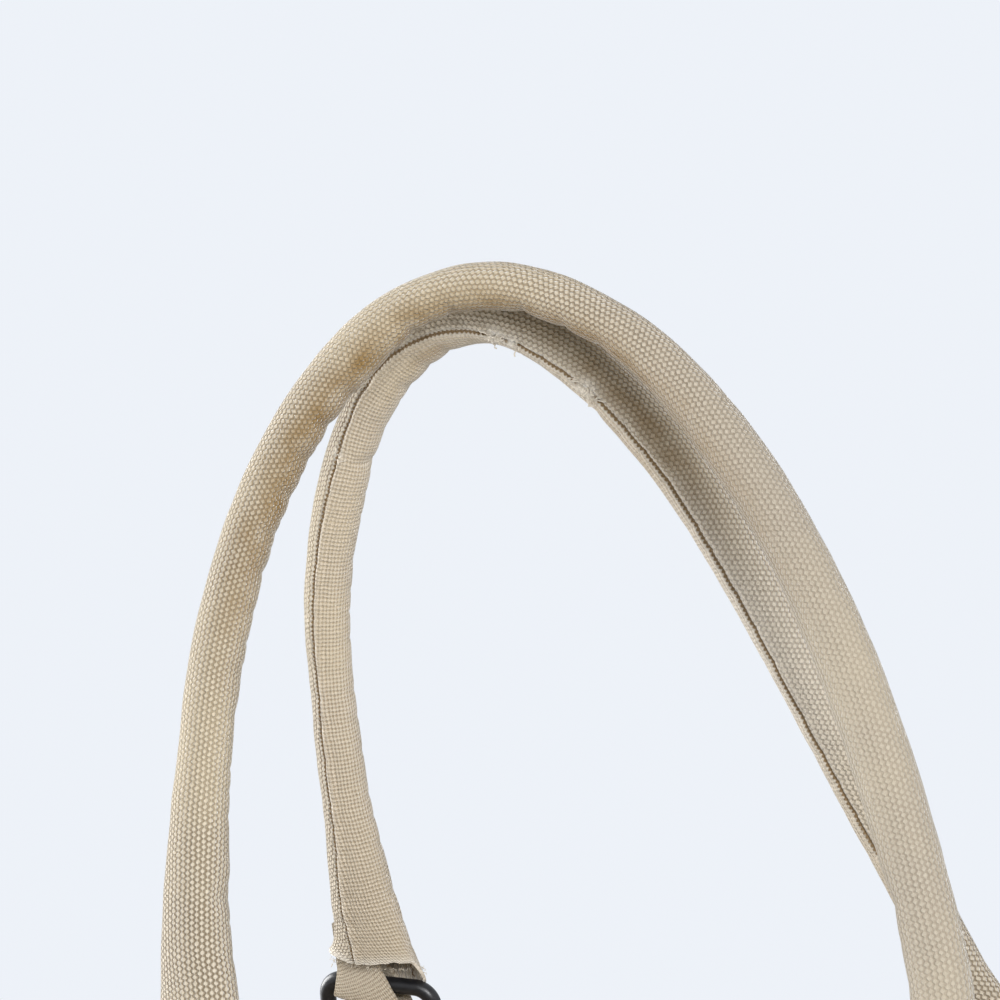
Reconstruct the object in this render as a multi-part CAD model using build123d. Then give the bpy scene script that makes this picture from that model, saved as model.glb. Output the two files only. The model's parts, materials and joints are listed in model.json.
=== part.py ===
from build123d import *
import os
from math import cos, pi, radians, sin, tan

# Shoe bag: a soft canvas case with a zipped top and two long rolled handles.
# X runs along the width, Y from front (-) to rear (+), Z up. The origin is the
# middle of the underside, on the surface that the bag stands on. Millimetres.

# Body
BODY_W = 320.0  # width over the end piping
BODY_D = 125.0  # depth over the canvas
BODY_H = 224.0  # height to the top canvas
CANVAS_T = 1.6  # doubled canvas
BOTTOM_R = 16.0  # rounding of the lower long edges
TOP_R = 10.0  # rounding of the upper long edges
PIPING_R = 2.0
LINING_T = 0.8
BOARD_T = 2.5
LINING_SLACK = 2.0  # lining to the gusset
EYELET_HOLE_R = 4.0
EYELET_FLANGE_R = 7.0
EYELET_FLANGE_T = 0.8
EYELET_WALL = 1.0
EYELET_Y = 22.0  # half the distance between the two eyelets of a side
EYELET_Z = 176.0

# Mouth
FLAP_HALF_W = 118.0  # half the length of the mouth
FLAP_GAP = 0.3
ZIP_SLOT_HALF = 8.0  # canvas edge to the middle of the zip
TAPE_OUT = 18.0
TAPE_T = 0.8
COIL_IN = 0.9
COIL_OUT = 3.6
COIL_T = 2.4
ZIP_END_X = 150.0
STOP_X = 142.0
STOP_L = 2.5
SLIDER_X = 129.0  # the slider rests at the open end of the zip
SLIDER_L = 13.0
SLIDER_W = 11.0
SLIDER_CLEARANCE = 0.4
PLATE_T = 1.5
PLATE_R = 3.0
POST_L = 4.5
POST_W = 1.0
BAIL_L = 8.0
BAIL_W = 2.0
BAIL_H = 3.4
BAIL_WIRE = 1.0
PULL_L = 27.0
PULL_W = 9.0
PULL_T = 1.4
PULL_R = 2.5
PULL_ARM_L = 6.0
PULL_ARM_T = 1.2

# Handles, their end tabs and the oval rings
RING_X = 108.5  # ring to the middle of the bag
RING_W = 46.0  # outside width of a ring
RING_WIRE_R = 2.8
BAR_GAP = 15.8  # between the two bars of a ring, middle to middle
RING_CORNER_R = 6.5
BAR_Z = 230.6  # height of the bar that the body tab holds
LEAN = 12.6  # the handles lean towards each other, degrees
STRAP_W = 27.0
STRAP_T = 3.2
LOOP_BORE_R = RING_WIRE_R + 0.35
BODY_TAB_LOW_Z = 158.0
HANDLE_R = 8.0
HANDLE_WALL = 1.2
CORE_R = HANDLE_R - HANDLE_WALL - 0.1
HEM_W = 36.0
HEM_D = 13.0
WAIST_W = 22.8  # the cuff halfway up
WAIST_D = 14.8
HEM_RISE = 7.0  # hem above the bar that the handle hangs from
TONGUE_LOW_W = 20.0  # the end tab narrows inside the cuff
TONGUE_HIGH_W = 14.0
TONGUE_REACH = 0.45  # share of the cuff's height
OVERLAP = 0.1  # parts of one solid run into each other by this much

# Each handle's line from the top of its left cuff to the top of its right one
FRONT_ROUTE = [
    (-116.3, -50.0, 297.0),
    (-118.5, -41.0, 340.0),
    (-116.8, -33.0, 379.0),
    (-109.1, -25.8, 414.0),
    (-93.7, -18.6, 448.0),
    (-69.0, -12.4, 475.0),
    (-36.0, -9.6, 486.0),
    (-2.6, -11.8, 476.0),
    (26.8, -16.4, 455.0),
    (51.8, -22.2, 428.0),
    (74.1, -29.6, 394.0),
    (91.4, -37.5, 357.0),
    (104.8, -45.2, 321.0),
    (112.4, -51.5, 291.0),
]
REAR_ROUTE = [
    (-112.2, 50.0, 295.0),
    (-114.5, 40.5, 337.0),
    (-113.9, 32.0, 376.0),
    (-106.4, 24.0, 411.0),
    (-93.8, 17.0, 442.6),
    (-74.8, 12.0, 464.9),
    (-49.7, 9.8, 476.8),
    (-27.3, 12.0, 469.8),
    (-5.7, 16.2, 450.3),
    (11.9, 20.6, 430.0),
    (27.3, 25.4, 406.0),
    (45.8, 33.0, 370.0),
    (63.8, 41.0, 334.0),
    (82.0, 49.5, 298.0),
]

BAR_Y = BODY_D / 2 + STRAP_T / 2
CANVAS_END_X = BODY_W / 2 - 2 * PIPING_R
HINGE_Y = BODY_D / 2 - TOP_R
TOP_LOW_Z = BODY_H - CANVAS_T
ZIP_MID_Z = TOP_LOW_Z - TAPE_T / 2


def write(shape, name):
    export_step(shape, f"parts/{name}.step")


def block(x0, x1, y0, y1, z0, z1):
    """Box between two corners."""
    box = Box(x1 - x0, y1 - y0, z1 - z0)
    return Pos((x0 + x1) / 2, (y0 + y1) / 2, (z0 + z1) / 2) * box


def side_outline(inset, floor=0.0):
    """The bag's end outline in the YZ plane, drawn in by an inset."""
    y = BODY_D / 2 - inset
    low, high = inset + floor, BODY_H - inset
    face = Plane.YZ * Pos(0, (low + high) / 2) * Rectangle(2 * y, high - low)
    corners = face.vertices().sort_by(Axis.Z)
    face = fillet(corners[:2], BOTTOM_R - inset)
    corners = face.vertices().sort_by(Axis.Z)
    return fillet(corners[-2:], TOP_R - inset)


def tube_between(outer_inset, inner_inset, half_x):
    """A band of canvas that runs round the bag from end to end."""
    outer = extrude(side_outline(outer_inset), half_x, both=True)
    return outer - extrude(side_outline(inner_inset), half_x, both=True)


# Body: one band of canvas cut into base, front and rear, with a gusset at each end
band = tube_between(0.0, CANVAS_T, CANVAS_END_X)
base_half_y = BODY_D / 2 - BOTTOM_R
far = BODY_W
base_panel = band & block(-far, far, -base_half_y, base_half_y, 0, BOTTOM_R)
front_low = band & block(-far, far, -BODY_D, -base_half_y, 0, BODY_H / 2)
front_high = band & block(-far, far, -BODY_D, -HINGE_Y, BODY_H / 2, BODY_H)
front_panel = front_low + front_high
rear_panel = mirror(front_panel, Plane.XZ)
write(base_panel, "base_panel")
write(front_panel, "front_panel")
write(rear_panel, "rear_panel")

base_board = block(
    -CANVAS_END_X + 1,
    CANVAS_END_X - 1,
    -base_half_y + 1,
    base_half_y - 1,
    CANVAS_T,
    CANVAS_T + BOARD_T,
)
write(base_board, "base_board")

# The piping covers the seam between the band and each gusset
piping_x = BODY_W / 2 - PIPING_R
gusset_face = side_outline(2 * PIPING_R)
for side, name in ((-1, "left"), (1, "right")):
    seam = side_outline(PIPING_R).face().outer_wire().moved(Pos(side * piping_x, 0, 0))
    start = seam @ 0
    section = Plane(origin=start, z_dir=seam % 0) * Circle(PIPING_R)
    write(sweep(section, path=seam), f"{name}_piping")

    plate = extrude(gusset_face, CANVAS_T / 2, both=True)
    gusset = Pos(side * piping_x, 0, 0) * plate
    eyelets = []
    for y in (-EYELET_Y, EYELET_Y):
        at = Pos(side * piping_x, y, EYELET_Z) * Rot(0, 90, 0)
        gusset -= at * Cylinder(EYELET_HOLE_R, 4 * CANVAS_T)
        flange_x = (CANVAS_T + EYELET_FLANGE_T) / 2
        flange = Cylinder(EYELET_FLANGE_R, EYELET_FLANGE_T)
        barrel = Cylinder(EYELET_HOLE_R, CANVAS_T + 2 * EYELET_FLANGE_T)
        eyelet = barrel + Pos(0, 0, flange_x) * flange + Pos(0, 0, -flange_x) * flange
        eyelet -= Cylinder(EYELET_HOLE_R - EYELET_WALL, 4 * CANVAS_T)
        eyelets.append(at * eyelet)
    write(gusset, f"{name}_gusset")
    write(Compound(eyelets), f"{name}_eyelets")

# Lining: a loose tub inside the canvas, open at the top, vented at the eyelets
lining_top = BODY_H - 2 * TOP_R
lining_x = piping_x - CANVAS_T / 2 - LINING_SLACK
lining_inset = CANVAS_T + LINING_T / 4
lining_outer = extrude(side_outline(lining_inset, BOARD_T), lining_x, both=True)
lining_inner = extrude(
    side_outline(lining_inset + LINING_T, BOARD_T), lining_x - LINING_T, both=True
)
lining = (lining_outer - lining_inner) & block(-far, far, -far, far, 0, lining_top)
for y in (-EYELET_Y, EYELET_Y):
    lining -= Pos(0, y, EYELET_Z) * Rot(0, 90, 0) * Cylinder(EYELET_HOLE_R, 2 * far)
write(lining, "lining")

# Mouth: two canvas flaps that carry the halves of the zip, between fixed ends
flap = block(
    -FLAP_HALF_W, FLAP_HALF_W, ZIP_SLOT_HALF, HINGE_Y - FLAP_GAP, TOP_LOW_Z, BODY_H
)
tape = block(-FLAP_HALF_W, FLAP_HALF_W, COIL_OUT, TAPE_OUT, TOP_LOW_Z - TAPE_T, TOP_LOW_Z)
coil = block(
    -FLAP_HALF_W,
    FLAP_HALF_W,
    COIL_IN,
    COIL_OUT,
    ZIP_MID_Z - COIL_T / 2,
    ZIP_MID_Z + COIL_T / 2,
)
for shape, name in ((flap, "top_flap"), (tape, "zip_tape"), (coil, "zip_teeth")):
    write(shape, f"rear_{name}")
    write(mirror(shape, Plane.XZ), f"front_{name}")

end_in = FLAP_HALF_W + FLAP_GAP
slot_x = STOP_X + STOP_L + FLAP_GAP
zip_low, zip_high = ZIP_MID_Z - COIL_T / 2, ZIP_MID_Z + COIL_T / 2
for side, name in ((-1, "left"), (1, "right")):
    end = block(end_in, CANVAS_END_X, -HINGE_Y, HINGE_Y, TOP_LOW_Z, BODY_H)
    end -= block(0, slot_x, -ZIP_SLOT_HALF, ZIP_SLOT_HALF, 0, 2 * BODY_H)
    half_tape = block(end_in, ZIP_END_X, COIL_OUT, TAPE_OUT, TOP_LOW_Z - TAPE_T, TOP_LOW_Z)
    half_coil = block(end_in, STOP_X, COIL_IN, COIL_OUT, zip_low, zip_high)
    half = half_tape + half_coil
    stop = block(STOP_X, STOP_X + STOP_L, -COIL_OUT, COIL_OUT, zip_low, zip_high)
    zip_end = Compound([half, mirror(half, Plane.XZ)])
    if side < 0:
        end, zip_end, stop = (mirror(s, Plane.YZ) for s in (end, zip_end, stop))
    write(end, f"{name}_top_end")
    write(zip_end, f"{name}_zip_end")
    write(stop, f"{name}_zip_stop")

# Zip slider: two plates joined by a thin post between the coils, a bail on top
plate_up = zip_high + SLIDER_CLEARANCE
plate_down = zip_low - SLIDER_CLEARANCE
plate_top = plate_up + PLATE_T
plate = fillet(Rectangle(SLIDER_L, SLIDER_W).vertices(), PLATE_R)
slider = Pos(0, 0, plate_up) * extrude(plate, PLATE_T)
slider += Pos(0, 0, plate_down - PLATE_T) * extrude(plate, PLATE_T)
post_end = SLIDER_L / 2 - PLATE_T
post_low, post_high = plate_down - OVERLAP, plate_up + OVERLAP
slider += block(post_end - POST_L, post_end, -POST_W / 2, POST_W / 2, post_low, post_high)
bail_top = plate_top + BAIL_H
bail = block(-BAIL_L / 2, BAIL_L / 2, -BAIL_W / 2, BAIL_W / 2, plate_top - OVERLAP, bail_top)
eye_x = BAIL_L / 2 - 1.6 * BAIL_WIRE
eye_low, eye_high = plate_top + 2 * OVERLAP, bail_top - BAIL_WIRE
bail -= block(-eye_x, eye_x, -BAIL_W, BAIL_W, eye_low, eye_high)
slider += bail
write(Pos(SLIDER_X, 0, 0) * slider, "zip_slider")

# Zip pull: a flat tag on two arms, hung on a pin through the bail
pin_z = plate_top + 0.5 + PULL_T / 2
arm_in = BAIL_W / 2 + SLIDER_CLEARANCE
arm_out = arm_in + PULL_ARM_T
pull = Rot(90, 0, 0) * Cylinder(PULL_T / 2, 2 * arm_out)
for y in (-1, 1):
    arm_y = sorted((y * arm_in, y * arm_out))
    pull += block(0, PULL_ARM_L + 1, *arm_y, -PULL_T / 2, PULL_T / 2)
tag_l = PULL_L - PULL_ARM_L
tag = fillet(Rectangle(tag_l, PULL_W).vertices(), PULL_R)
pull += Pos(PULL_ARM_L + tag_l / 2, 0, -PULL_T / 2) * extrude(tag, PULL_T)
write(Pos(SLIDER_X, 0, pin_z) * pull, "zip_pull")


def lean_plane(x, face, up):
    """Plane of a ring: its x is +X, its y leans inwards, `up` above the lower bar."""
    angle = radians(LEAN)
    rise = Vector(0, -face * sin(angle), cos(angle))
    origin = Vector(x, face * BAR_Y, BAR_Z) + rise * up
    return Plane(origin=origin, x_dir=(1, 0, 0), z_dir=Vector(1, 0, 0).cross(rise))


def loop(at, direction, reach):
    """Strap round a bar along X: a sleeve with a tongue along local y."""
    sleeve = Rot(0, 90, 0) * Cylinder(LOOP_BORE_R + STRAP_T / 2, STRAP_W)
    tongue = Pos(0, direction * reach / 2, 0) * Box(STRAP_W, reach, STRAP_T)
    bore = Rot(0, 90, 0) * Cylinder(LOOP_BORE_R, 2 * STRAP_W)
    return at * (sleeve + tongue - bore)


def cuff(top, heading, hem_plane, shrink):
    """Flared end of a handle cover: round at its top, a flat oval at its hem."""
    top_face = Plane(origin=top, z_dir=heading, x_dir=(1, 0, 0)) * Circle(HANDLE_R - shrink)
    hem_face = hem_plane * Ellipse(HEM_W / 2 - shrink, HEM_D / 2 - shrink)
    hem_origin = hem_plane.origin
    middle = hem_origin + (Vector(top) - hem_origin) * 0.5
    way = (Vector(top) - hem_origin).normalized()
    waist = Plane(origin=middle, z_dir=way, x_dir=(1, 0, 0))
    waist_face = waist * Ellipse(WAIST_W / 2 - shrink, WAIST_D / 2 - shrink)
    return loft([hem_face, waist_face, top_face])


def handle_line(route):
    """Straight runs joined by the largest arcs that they allow."""
    points = [Vector(*p) for p in route]
    runs = [b - a for a, b in zip(points, points[1:])]
    radii = []
    for before, after in zip(runs, runs[1:]):
        turn = before.get_angle(after)
        shorter = min(before.length, after.length)
        radii.append(0.45 * shorter / tan(radians(turn / 2)))
    print("handle radii", [round(r) for r in radii])
    return FilletPolyline(*points, radius=radii), runs


for face, side_name, route in ((-1, "front", FRONT_ROUTE), (1, "rear", REAR_ROUTE)):
    line, runs = handle_line(route)
    start = Plane(origin=line @ 0, z_dir=line % 0)
    outside = sweep(start * Circle(HANDLE_R), path=line)
    inside = sweep(start * Circle(HANDLE_R - HANDLE_WALL), path=line)
    cover = outside - inside
    core = sweep(start * Circle(CORE_R), path=line)
    print(side_name, "core", round(core.volume / (pi * CORE_R**2 * line.length), 4))
    for x, end_name, top, heading in (
        (-RING_X, "left", route[0], runs[0] * -1),
        (RING_X, "right", route[-1], runs[-1]),
    ):
        ring_mid = lean_plane(x, face, BAR_GAP / 2)
        frame = ring_mid * RectangleRounded(
            RING_W - 2 * RING_WIRE_R, BAR_GAP, RING_CORNER_R
        )
        wire = frame.face().outer_wire()
        section = Plane(origin=wire @ 0, z_dir=wire % 0) * Circle(RING_WIRE_R)
        write(sweep(section, path=wire), f"{side_name}_{end_name}_ring")

        body_bar = Plane(
            origin=(x, face * BAR_Y, BAR_Z), x_dir=(1, 0, 0), z_dir=(0, -1, 0)
        )
        write(
            loop(body_bar, -1, BAR_Z - BODY_TAB_LOW_Z), f"{side_name}_{end_name}_body_tab"
        )

        bar = lean_plane(x, face, BAR_GAP)
        hem_at = lean_plane(x, face, BAR_GAP + HEM_RISE)
        hem_plane = Plane(origin=hem_at.origin, x_dir=(1, 0, 0), z_dir=hem_at.y_dir)
        hollow = cuff(top, heading.normalized() * -1, hem_plane, HANDLE_WALL)
        cover += cuff(top, heading.normalized() * -1, hem_plane, 0.0) - hollow

        tab = loop(bar, 1, HEM_RISE - 1.0)
        low = lean_plane(x, face, BAR_GAP + HEM_RISE - 2.0)
        low_face = Plane(origin=low.origin, x_dir=(1, 0, 0), z_dir=low.y_dir)
        tongue_end = low.origin + (Vector(*top) - low.origin) * TONGUE_REACH
        high_face = Plane(origin=tongue_end, x_dir=(1, 0, 0), z_dir=low.y_dir)
        tongue_low = low_face * Rectangle(TONGUE_LOW_W, STRAP_T)
        tab += loft([tongue_low, high_face * Rectangle(TONGUE_HIGH_W, STRAP_T)])
        write(tab, f"{side_name}_{end_name}_handle_tab")
    write(cover, f"{side_name}_handle_cover")
    write(core, f"{side_name}_handle_core")
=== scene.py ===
# %% [markdown]
# # A canvas shoe bag with rolled handles
# The bag is a soft case of hopsack canvas with a zipped top. Two long handles, each a
# strip of canvas rolled round a cord, hang from four black rings. The frame below holds
# the parts at their real size: pieces with a hard shape stay as they are and only get
# their finish, and everything sewn is made again here as cloth.

import bmesh
import bpy
import json
import math
import numpy as np
from mathutils import Matrix, Vector, noise


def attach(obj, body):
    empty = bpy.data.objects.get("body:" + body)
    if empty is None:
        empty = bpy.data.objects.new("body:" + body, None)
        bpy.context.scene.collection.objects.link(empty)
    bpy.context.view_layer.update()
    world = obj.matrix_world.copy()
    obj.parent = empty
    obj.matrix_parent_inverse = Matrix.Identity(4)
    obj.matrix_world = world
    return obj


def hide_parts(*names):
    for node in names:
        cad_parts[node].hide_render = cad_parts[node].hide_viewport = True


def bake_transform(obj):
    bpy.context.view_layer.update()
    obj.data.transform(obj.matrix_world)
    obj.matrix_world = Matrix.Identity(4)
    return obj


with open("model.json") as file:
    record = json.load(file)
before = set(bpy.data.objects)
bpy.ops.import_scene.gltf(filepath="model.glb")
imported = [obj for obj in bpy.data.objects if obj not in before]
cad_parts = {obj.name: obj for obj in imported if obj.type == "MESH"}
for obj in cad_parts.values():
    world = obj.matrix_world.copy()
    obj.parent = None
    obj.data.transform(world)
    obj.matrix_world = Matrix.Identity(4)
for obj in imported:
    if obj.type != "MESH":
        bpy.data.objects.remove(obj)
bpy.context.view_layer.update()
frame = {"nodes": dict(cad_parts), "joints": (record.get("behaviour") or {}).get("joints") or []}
scene = bpy.context.scene
SIDES = (("front", -1), ("rear", 1))  # name and direction along Y
ENDS = (("left", -1), ("right", 1))  # name and direction along X

# %% [markdown]
# ## Camera
# The bag is seen from close by, a little from its right and a little from above, so that
# the handles fill the picture. A long lens keeps them from bending.

# %% Camera
CAMERA_AZIMUTH = math.radians(23.0)
CAMERA_RISE = math.radians(4.5)
CAMERA_DISTANCE = 0.775
CAMERA_AIM = Vector((-0.0375, 0.0, 0.419))
LENS_MM = 91.44


def stand(name, data, place, way):
    """Put a camera or a lamp at a place, facing along a direction."""
    obj = bpy.data.objects.new(name, data)
    obj.location = place
    obj.rotation_mode = "QUATERNION"
    obj.rotation_quaternion = way.to_track_quat("-Z", "Y")
    scene.collection.objects.link(obj)
    return obj


level = math.cos(CAMERA_RISE)
back = Vector(
    (math.sin(CAMERA_AZIMUTH) * level, -math.cos(CAMERA_AZIMUTH) * level, math.sin(CAMERA_RISE))
)
place = CAMERA_AIM + back * CAMERA_DISTANCE
camera = stand("camera", bpy.data.cameras.new("camera"), place, -back)
camera.data.lens = LENS_MM
camera.data.clip_start = 0.01
scene.camera = camera
scene.view_settings.view_transform = "Standard"
print("camera at", [round(value, 3) for value in camera.location])

# %% [markdown]
# ## Node helpers
# The world and the materials are built from a few kinds of node. Each helper adds one
# node to the tree that its sockets belong to.

# %% Node helpers
def link(start, end):
    start.id_data.links.new(start, end)


def feed(sockets, values):
    """Give each socket its value: a number, a colour or the output of another node."""
    for socket, value in zip(sockets, values):
        if isinstance(value, bpy.types.NodeSocket):
            link(value, socket)
        else:
            socket.default_value = value


def calc(operation, *values):
    """A Math node; each value is a number or a socket."""
    tree = next(v.id_data for v in values if isinstance(v, bpy.types.NodeSocket))
    node = tree.nodes.new("ShaderNodeMath")
    node.operation = operation
    feed(node.inputs, values)
    return node.outputs[0]


def times(a, b):
    return calc("MULTIPLY", a, b)


def scaled(value, factor, offset):
    return calc("MULTIPLY_ADD", value, factor, offset)


def less_than_full(value):
    """What is left of 1 after a value."""
    return calc("SUBTRACT", 1.0, value)


def blend_colors(amount, a, b):
    """From colour a to colour b; each is a tuple or a socket."""
    node = amount.id_data.nodes.new("ShaderNodeMix")
    node.data_type = "RGBA"
    feed([node.inputs[i] for i in (0, 6, 7)], (amount, a, b))
    return node.outputs[2]


def mix_shaders(amount, a, b):
    node = amount.id_data.nodes.new("ShaderNodeMixShader")
    feed(node.inputs, (amount, a, b))
    return node.outputs[0]


def noise_value(vector, scale, detail=2.0):
    node = vector.id_data.nodes.new("ShaderNodeTexNoise")
    node.inputs["Scale"].default_value = scale
    node.inputs["Detail"].default_value = detail
    link(vector, node.inputs["Vector"])
    return node.outputs["Fac"]


def step_value(value, low, high):
    """Smooth step from 0 at low to 1 at high."""
    node = value.id_data.nodes.new("ShaderNodeMapRange")
    node.interpolation_type = "SMOOTHSTEP"
    node.inputs["From Min"].default_value = low
    node.inputs["From Max"].default_value = high
    link(value, node.inputs["Value"])
    return node.outputs[0]


def new_material(name):
    """A material with its shader and the place on the object."""
    material = bpy.data.materials.new(name)
    material.use_nodes = True
    nodes = material.node_tree.nodes
    return material, nodes["Principled BSDF"], nodes.new("ShaderNodeTexCoord").outputs["Object"]


def add_bump(shader, height, strength, distance):
    bump = shader.id_data.nodes.new("ShaderNodeBump")
    bump.inputs["Strength"].default_value = strength
    bump.inputs["Distance"].default_value = distance
    link(height, bump.inputs["Height"])
    link(bump.outputs[0], shader.inputs["Normal"])


print("node helpers ready")

# %% [markdown]
# ## Light and floor
# The light is the even, white light of a product table: bright from both sides, softer
# from the front. The camera and shiny surfaces see a plain pale background, while a
# weaker, warm glow from all round fills the shadows.

# %% World and lamps
BACKGROUND = (0.850, 0.885, 0.940, 1.0)
WARM_FILL = (0.93, 0.82, 0.67, 1.0)
LAMP_AIM = Vector((0.0, 0.0, 0.30))
LAMPS = [  # name, place, size and watts of each square soft box
    ("left_box", (-1.4, 0.1, 0.5), 0.9, 35.0),
    ("key_box", (0.77, -1.02, 1.0), 0.5, 20.0),
    ("front_box", (0.20, -1.30, 1.0), 0.6, 4.5),
    ("right_box", (1.4, 0.0, 0.7), 0.8, 1.5),
]

world = bpy.data.worlds.new("studio")
scene.world = world
world.use_nodes = True
nodes = world.node_tree.nodes
nodes.clear()
ray = nodes.new("ShaderNodeLightPath").outputs
seen = ray["Is Camera Ray"]
for kind in ("Is Glossy Ray", "Is Transmission Ray"):
    seen = calc("MAXIMUM", seen, ray[kind])
plain = nodes.new("ShaderNodeBackground")
plain.inputs["Color"].default_value = BACKGROUND
fill = nodes.new("ShaderNodeBackground")
fill.inputs["Color"].default_value = WARM_FILL
fill.inputs["Strength"].default_value = 0.12
out = nodes.new("ShaderNodeOutputWorld")
link(mix_shaders(seen, fill.outputs[0], plain.outputs[0]), out.inputs[0])

for name, place, size, watts in LAMPS:
    light = bpy.data.lights.new(name, "AREA")
    light.size = size
    light.energy = watts
    stand(name, light, place, LAMP_AIM - Vector(place))
print("lamps", [lamp[0] for lamp in LAMPS])

# %% [markdown]
# The floor is a wide disc of paper. It takes the bag's shadow near the bag, and further
# out the camera sees it glow like the background, so no horizon shows.

# %% Floor
PAPER = (0.83, 0.86, 0.91, 1.0)
PAPER_NEAR, PAPER_FAR = 0.22, 0.60  # the paper turns into the background between these


def mesh_of(name, bm):
    """Turn a bmesh into a mesh and free it."""
    mesh = bpy.data.meshes.new(name)
    bm.to_mesh(mesh)
    bm.free()
    return mesh


def floor_paper():
    """White paper that takes the bag's shadow and runs out into the background."""
    material, shader, place = new_material("floor_paper")
    nodes = material.node_tree.nodes
    shader.inputs["Base Color"].default_value = PAPER
    shader.inputs["Roughness"].default_value = 0.9
    reach = nodes.new("ShaderNodeVectorMath")
    reach.operation = "LENGTH"
    link(place, reach.inputs[0])
    away = step_value(reach.outputs["Value"], PAPER_NEAR, PAPER_FAR)
    camera_ray = nodes.new("ShaderNodeLightPath").outputs["Is Camera Ray"]
    glow = nodes.new("ShaderNodeEmission")
    glow.inputs["Color"].default_value = BACKGROUND
    mixed = mix_shaders(times(away, camera_ray), shader.outputs[0], glow.outputs[0])
    link(mixed, nodes["Material Output"].inputs[0])
    return material


disc = bmesh.new()
bmesh.ops.create_circle(disc, cap_ends=True, segments=96, radius=12.0)
floor = bpy.data.objects.new("floor", mesh_of("floor", disc))
floor.data.materials.append(floor_paper())
scene.collection.objects.link(floor)
print("floor laid")

# %% [markdown]
# ## Canvas
# Hopsack is a coarse plain weave: each yarn shows as a row of rounded knots, and the
# knots of neighbouring rows are staggered like bricks. A few cosines give that lattice,
# so the weave needs no picture. It reads a UV map that is laid out in metres on the flat
# cloth, so the yarns keep their size and follow each fold. Vertex attributes add what
# use has done and some painted light: stains with painted shade laid in among them,
# duller parts that are painted flat light, worn pale edges with painted light laid in
# among them, and the dark groove of a seam.

# %% Weave, wear and painted light
SEAM_REACH = 0.010  # the seam attribute runs from 1 on the seam to 0 this far from it
STITCH_GAP = 0.0015
# colour of stains, also used to paint shade under the handles' crowns
STAIN_AND_SHADE = (0.250, 0.160, 0.062, 1.0)
# duller colour that paints flat light on legs lit flat from the front
FLAT_LIGHT_TONE = (0.300, 0.275, 0.240, 1.0)
# pale colour of worn edges and hems, also used to paint light on the rear handle's lower right
# leg
PALE_WEAR_AND_LIGHT = (0.80, 0.745, 0.655, 1.0)
GROOVE = (0.185, 0.115, 0.046, 1.0)
# pale line along the folded edge beside a groove: a painted highlight
CREST_HIGHLIGHT = (0.70, 0.665, 0.60, 1.0)


def painted(tree, label):
    """Value of a vertex attribute; 0 where the mesh has none."""
    read = tree.nodes.new("ShaderNodeAttribute")
    read.attribute_name = label
    return read.outputs["Fac"]


def knots(tree, flat, across, along, brick):
    """Height of the knots from 0 to 1, and the distance along the cloth."""
    split = tree.nodes.new("ShaderNodeSeparateXYZ")
    link(flat, split.inputs[0])
    wander = calc("SUBTRACT", noise_value(flat, 260.0), 0.5)
    u = scaled(wander, 0.55 * across, split.outputs[0])
    v = scaled(wander, -0.5 * along, split.outputs[1])
    half_turn = times(u, math.pi / across)
    beat = calc("COSINE", times(v, 2 * math.pi / along))
    rib = calc("COSINE", times(half_turn, 2.0))
    if brick:
        # the faster cosine squares the knots' corners
        blocky = calc("COSINE", times(half_turn, 3.0))
        column = scaled(blocky, -0.40, calc("COSINE", half_turn))
        beat = times(times(column, beat), 1.6)
    return step_value(scaled(rib, 1.0, beat), -1.25, 0.85), v


def wear_and_painted_light(tree, color, light, place, slub, v):
    """Yellowing, stains and worn pale edges on a cloth's colour, with painted light and shade:
    painted flat light, shade laid in with the stains, light laid in with the pale wear, and seam
    grooves with a painted highlight beside them.
    """
    patch = step_value(noise_value(place, 16.0, 4.0), 0.38, 0.72)
    yellow = (light[0] * 0.96, light[1] * 0.92, light[2] * 0.80, 1.0)
    color = blend_colors(times(patch, 0.45), color, yellow)
    # painted flat light: duller colour where a leg is lit flat from the front
    color = blend_colors(times(painted(tree, "rubbed"), 0.85), color, FLAT_LIGHT_TONE)
    # stains, with painted shade laid in the same way
    blotch = times(noise_value(place, 130.0, 3.0), 1.35)
    color = blend_colors(times(painted(tree, "stain"), blotch), color, STAIN_AND_SHADE)
    # worn pale edges, with painted light laid in the same way
    pale = times(painted(tree, "fade"), scaled(slub, 0.8, 0.5))
    color = blend_colors(pale, color, PALE_WEAR_AND_LIGHT)
    seam = painted(tree, "seam")
    teeth = calc("SINE", times(v, 2 * math.pi / STITCH_GAP))
    shut = less_than_full(step_value(painted(tree, "fade"), 0.45, 0.85))
    groove = times(step_value(scaled(teeth, 0.020, seam), 0.920, 0.970), shut)
    color = blend_colors(times(groove, 0.90), color, GROOVE)
    # painted highlight along the folded edge beside the groove
    crest_highlight = times(step_value(seam, 0.86, 0.91), less_than_full(groove))
    return blend_colors(times(crest_highlight, 0.35), color, CREST_HIGHLIGHT)


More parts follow.
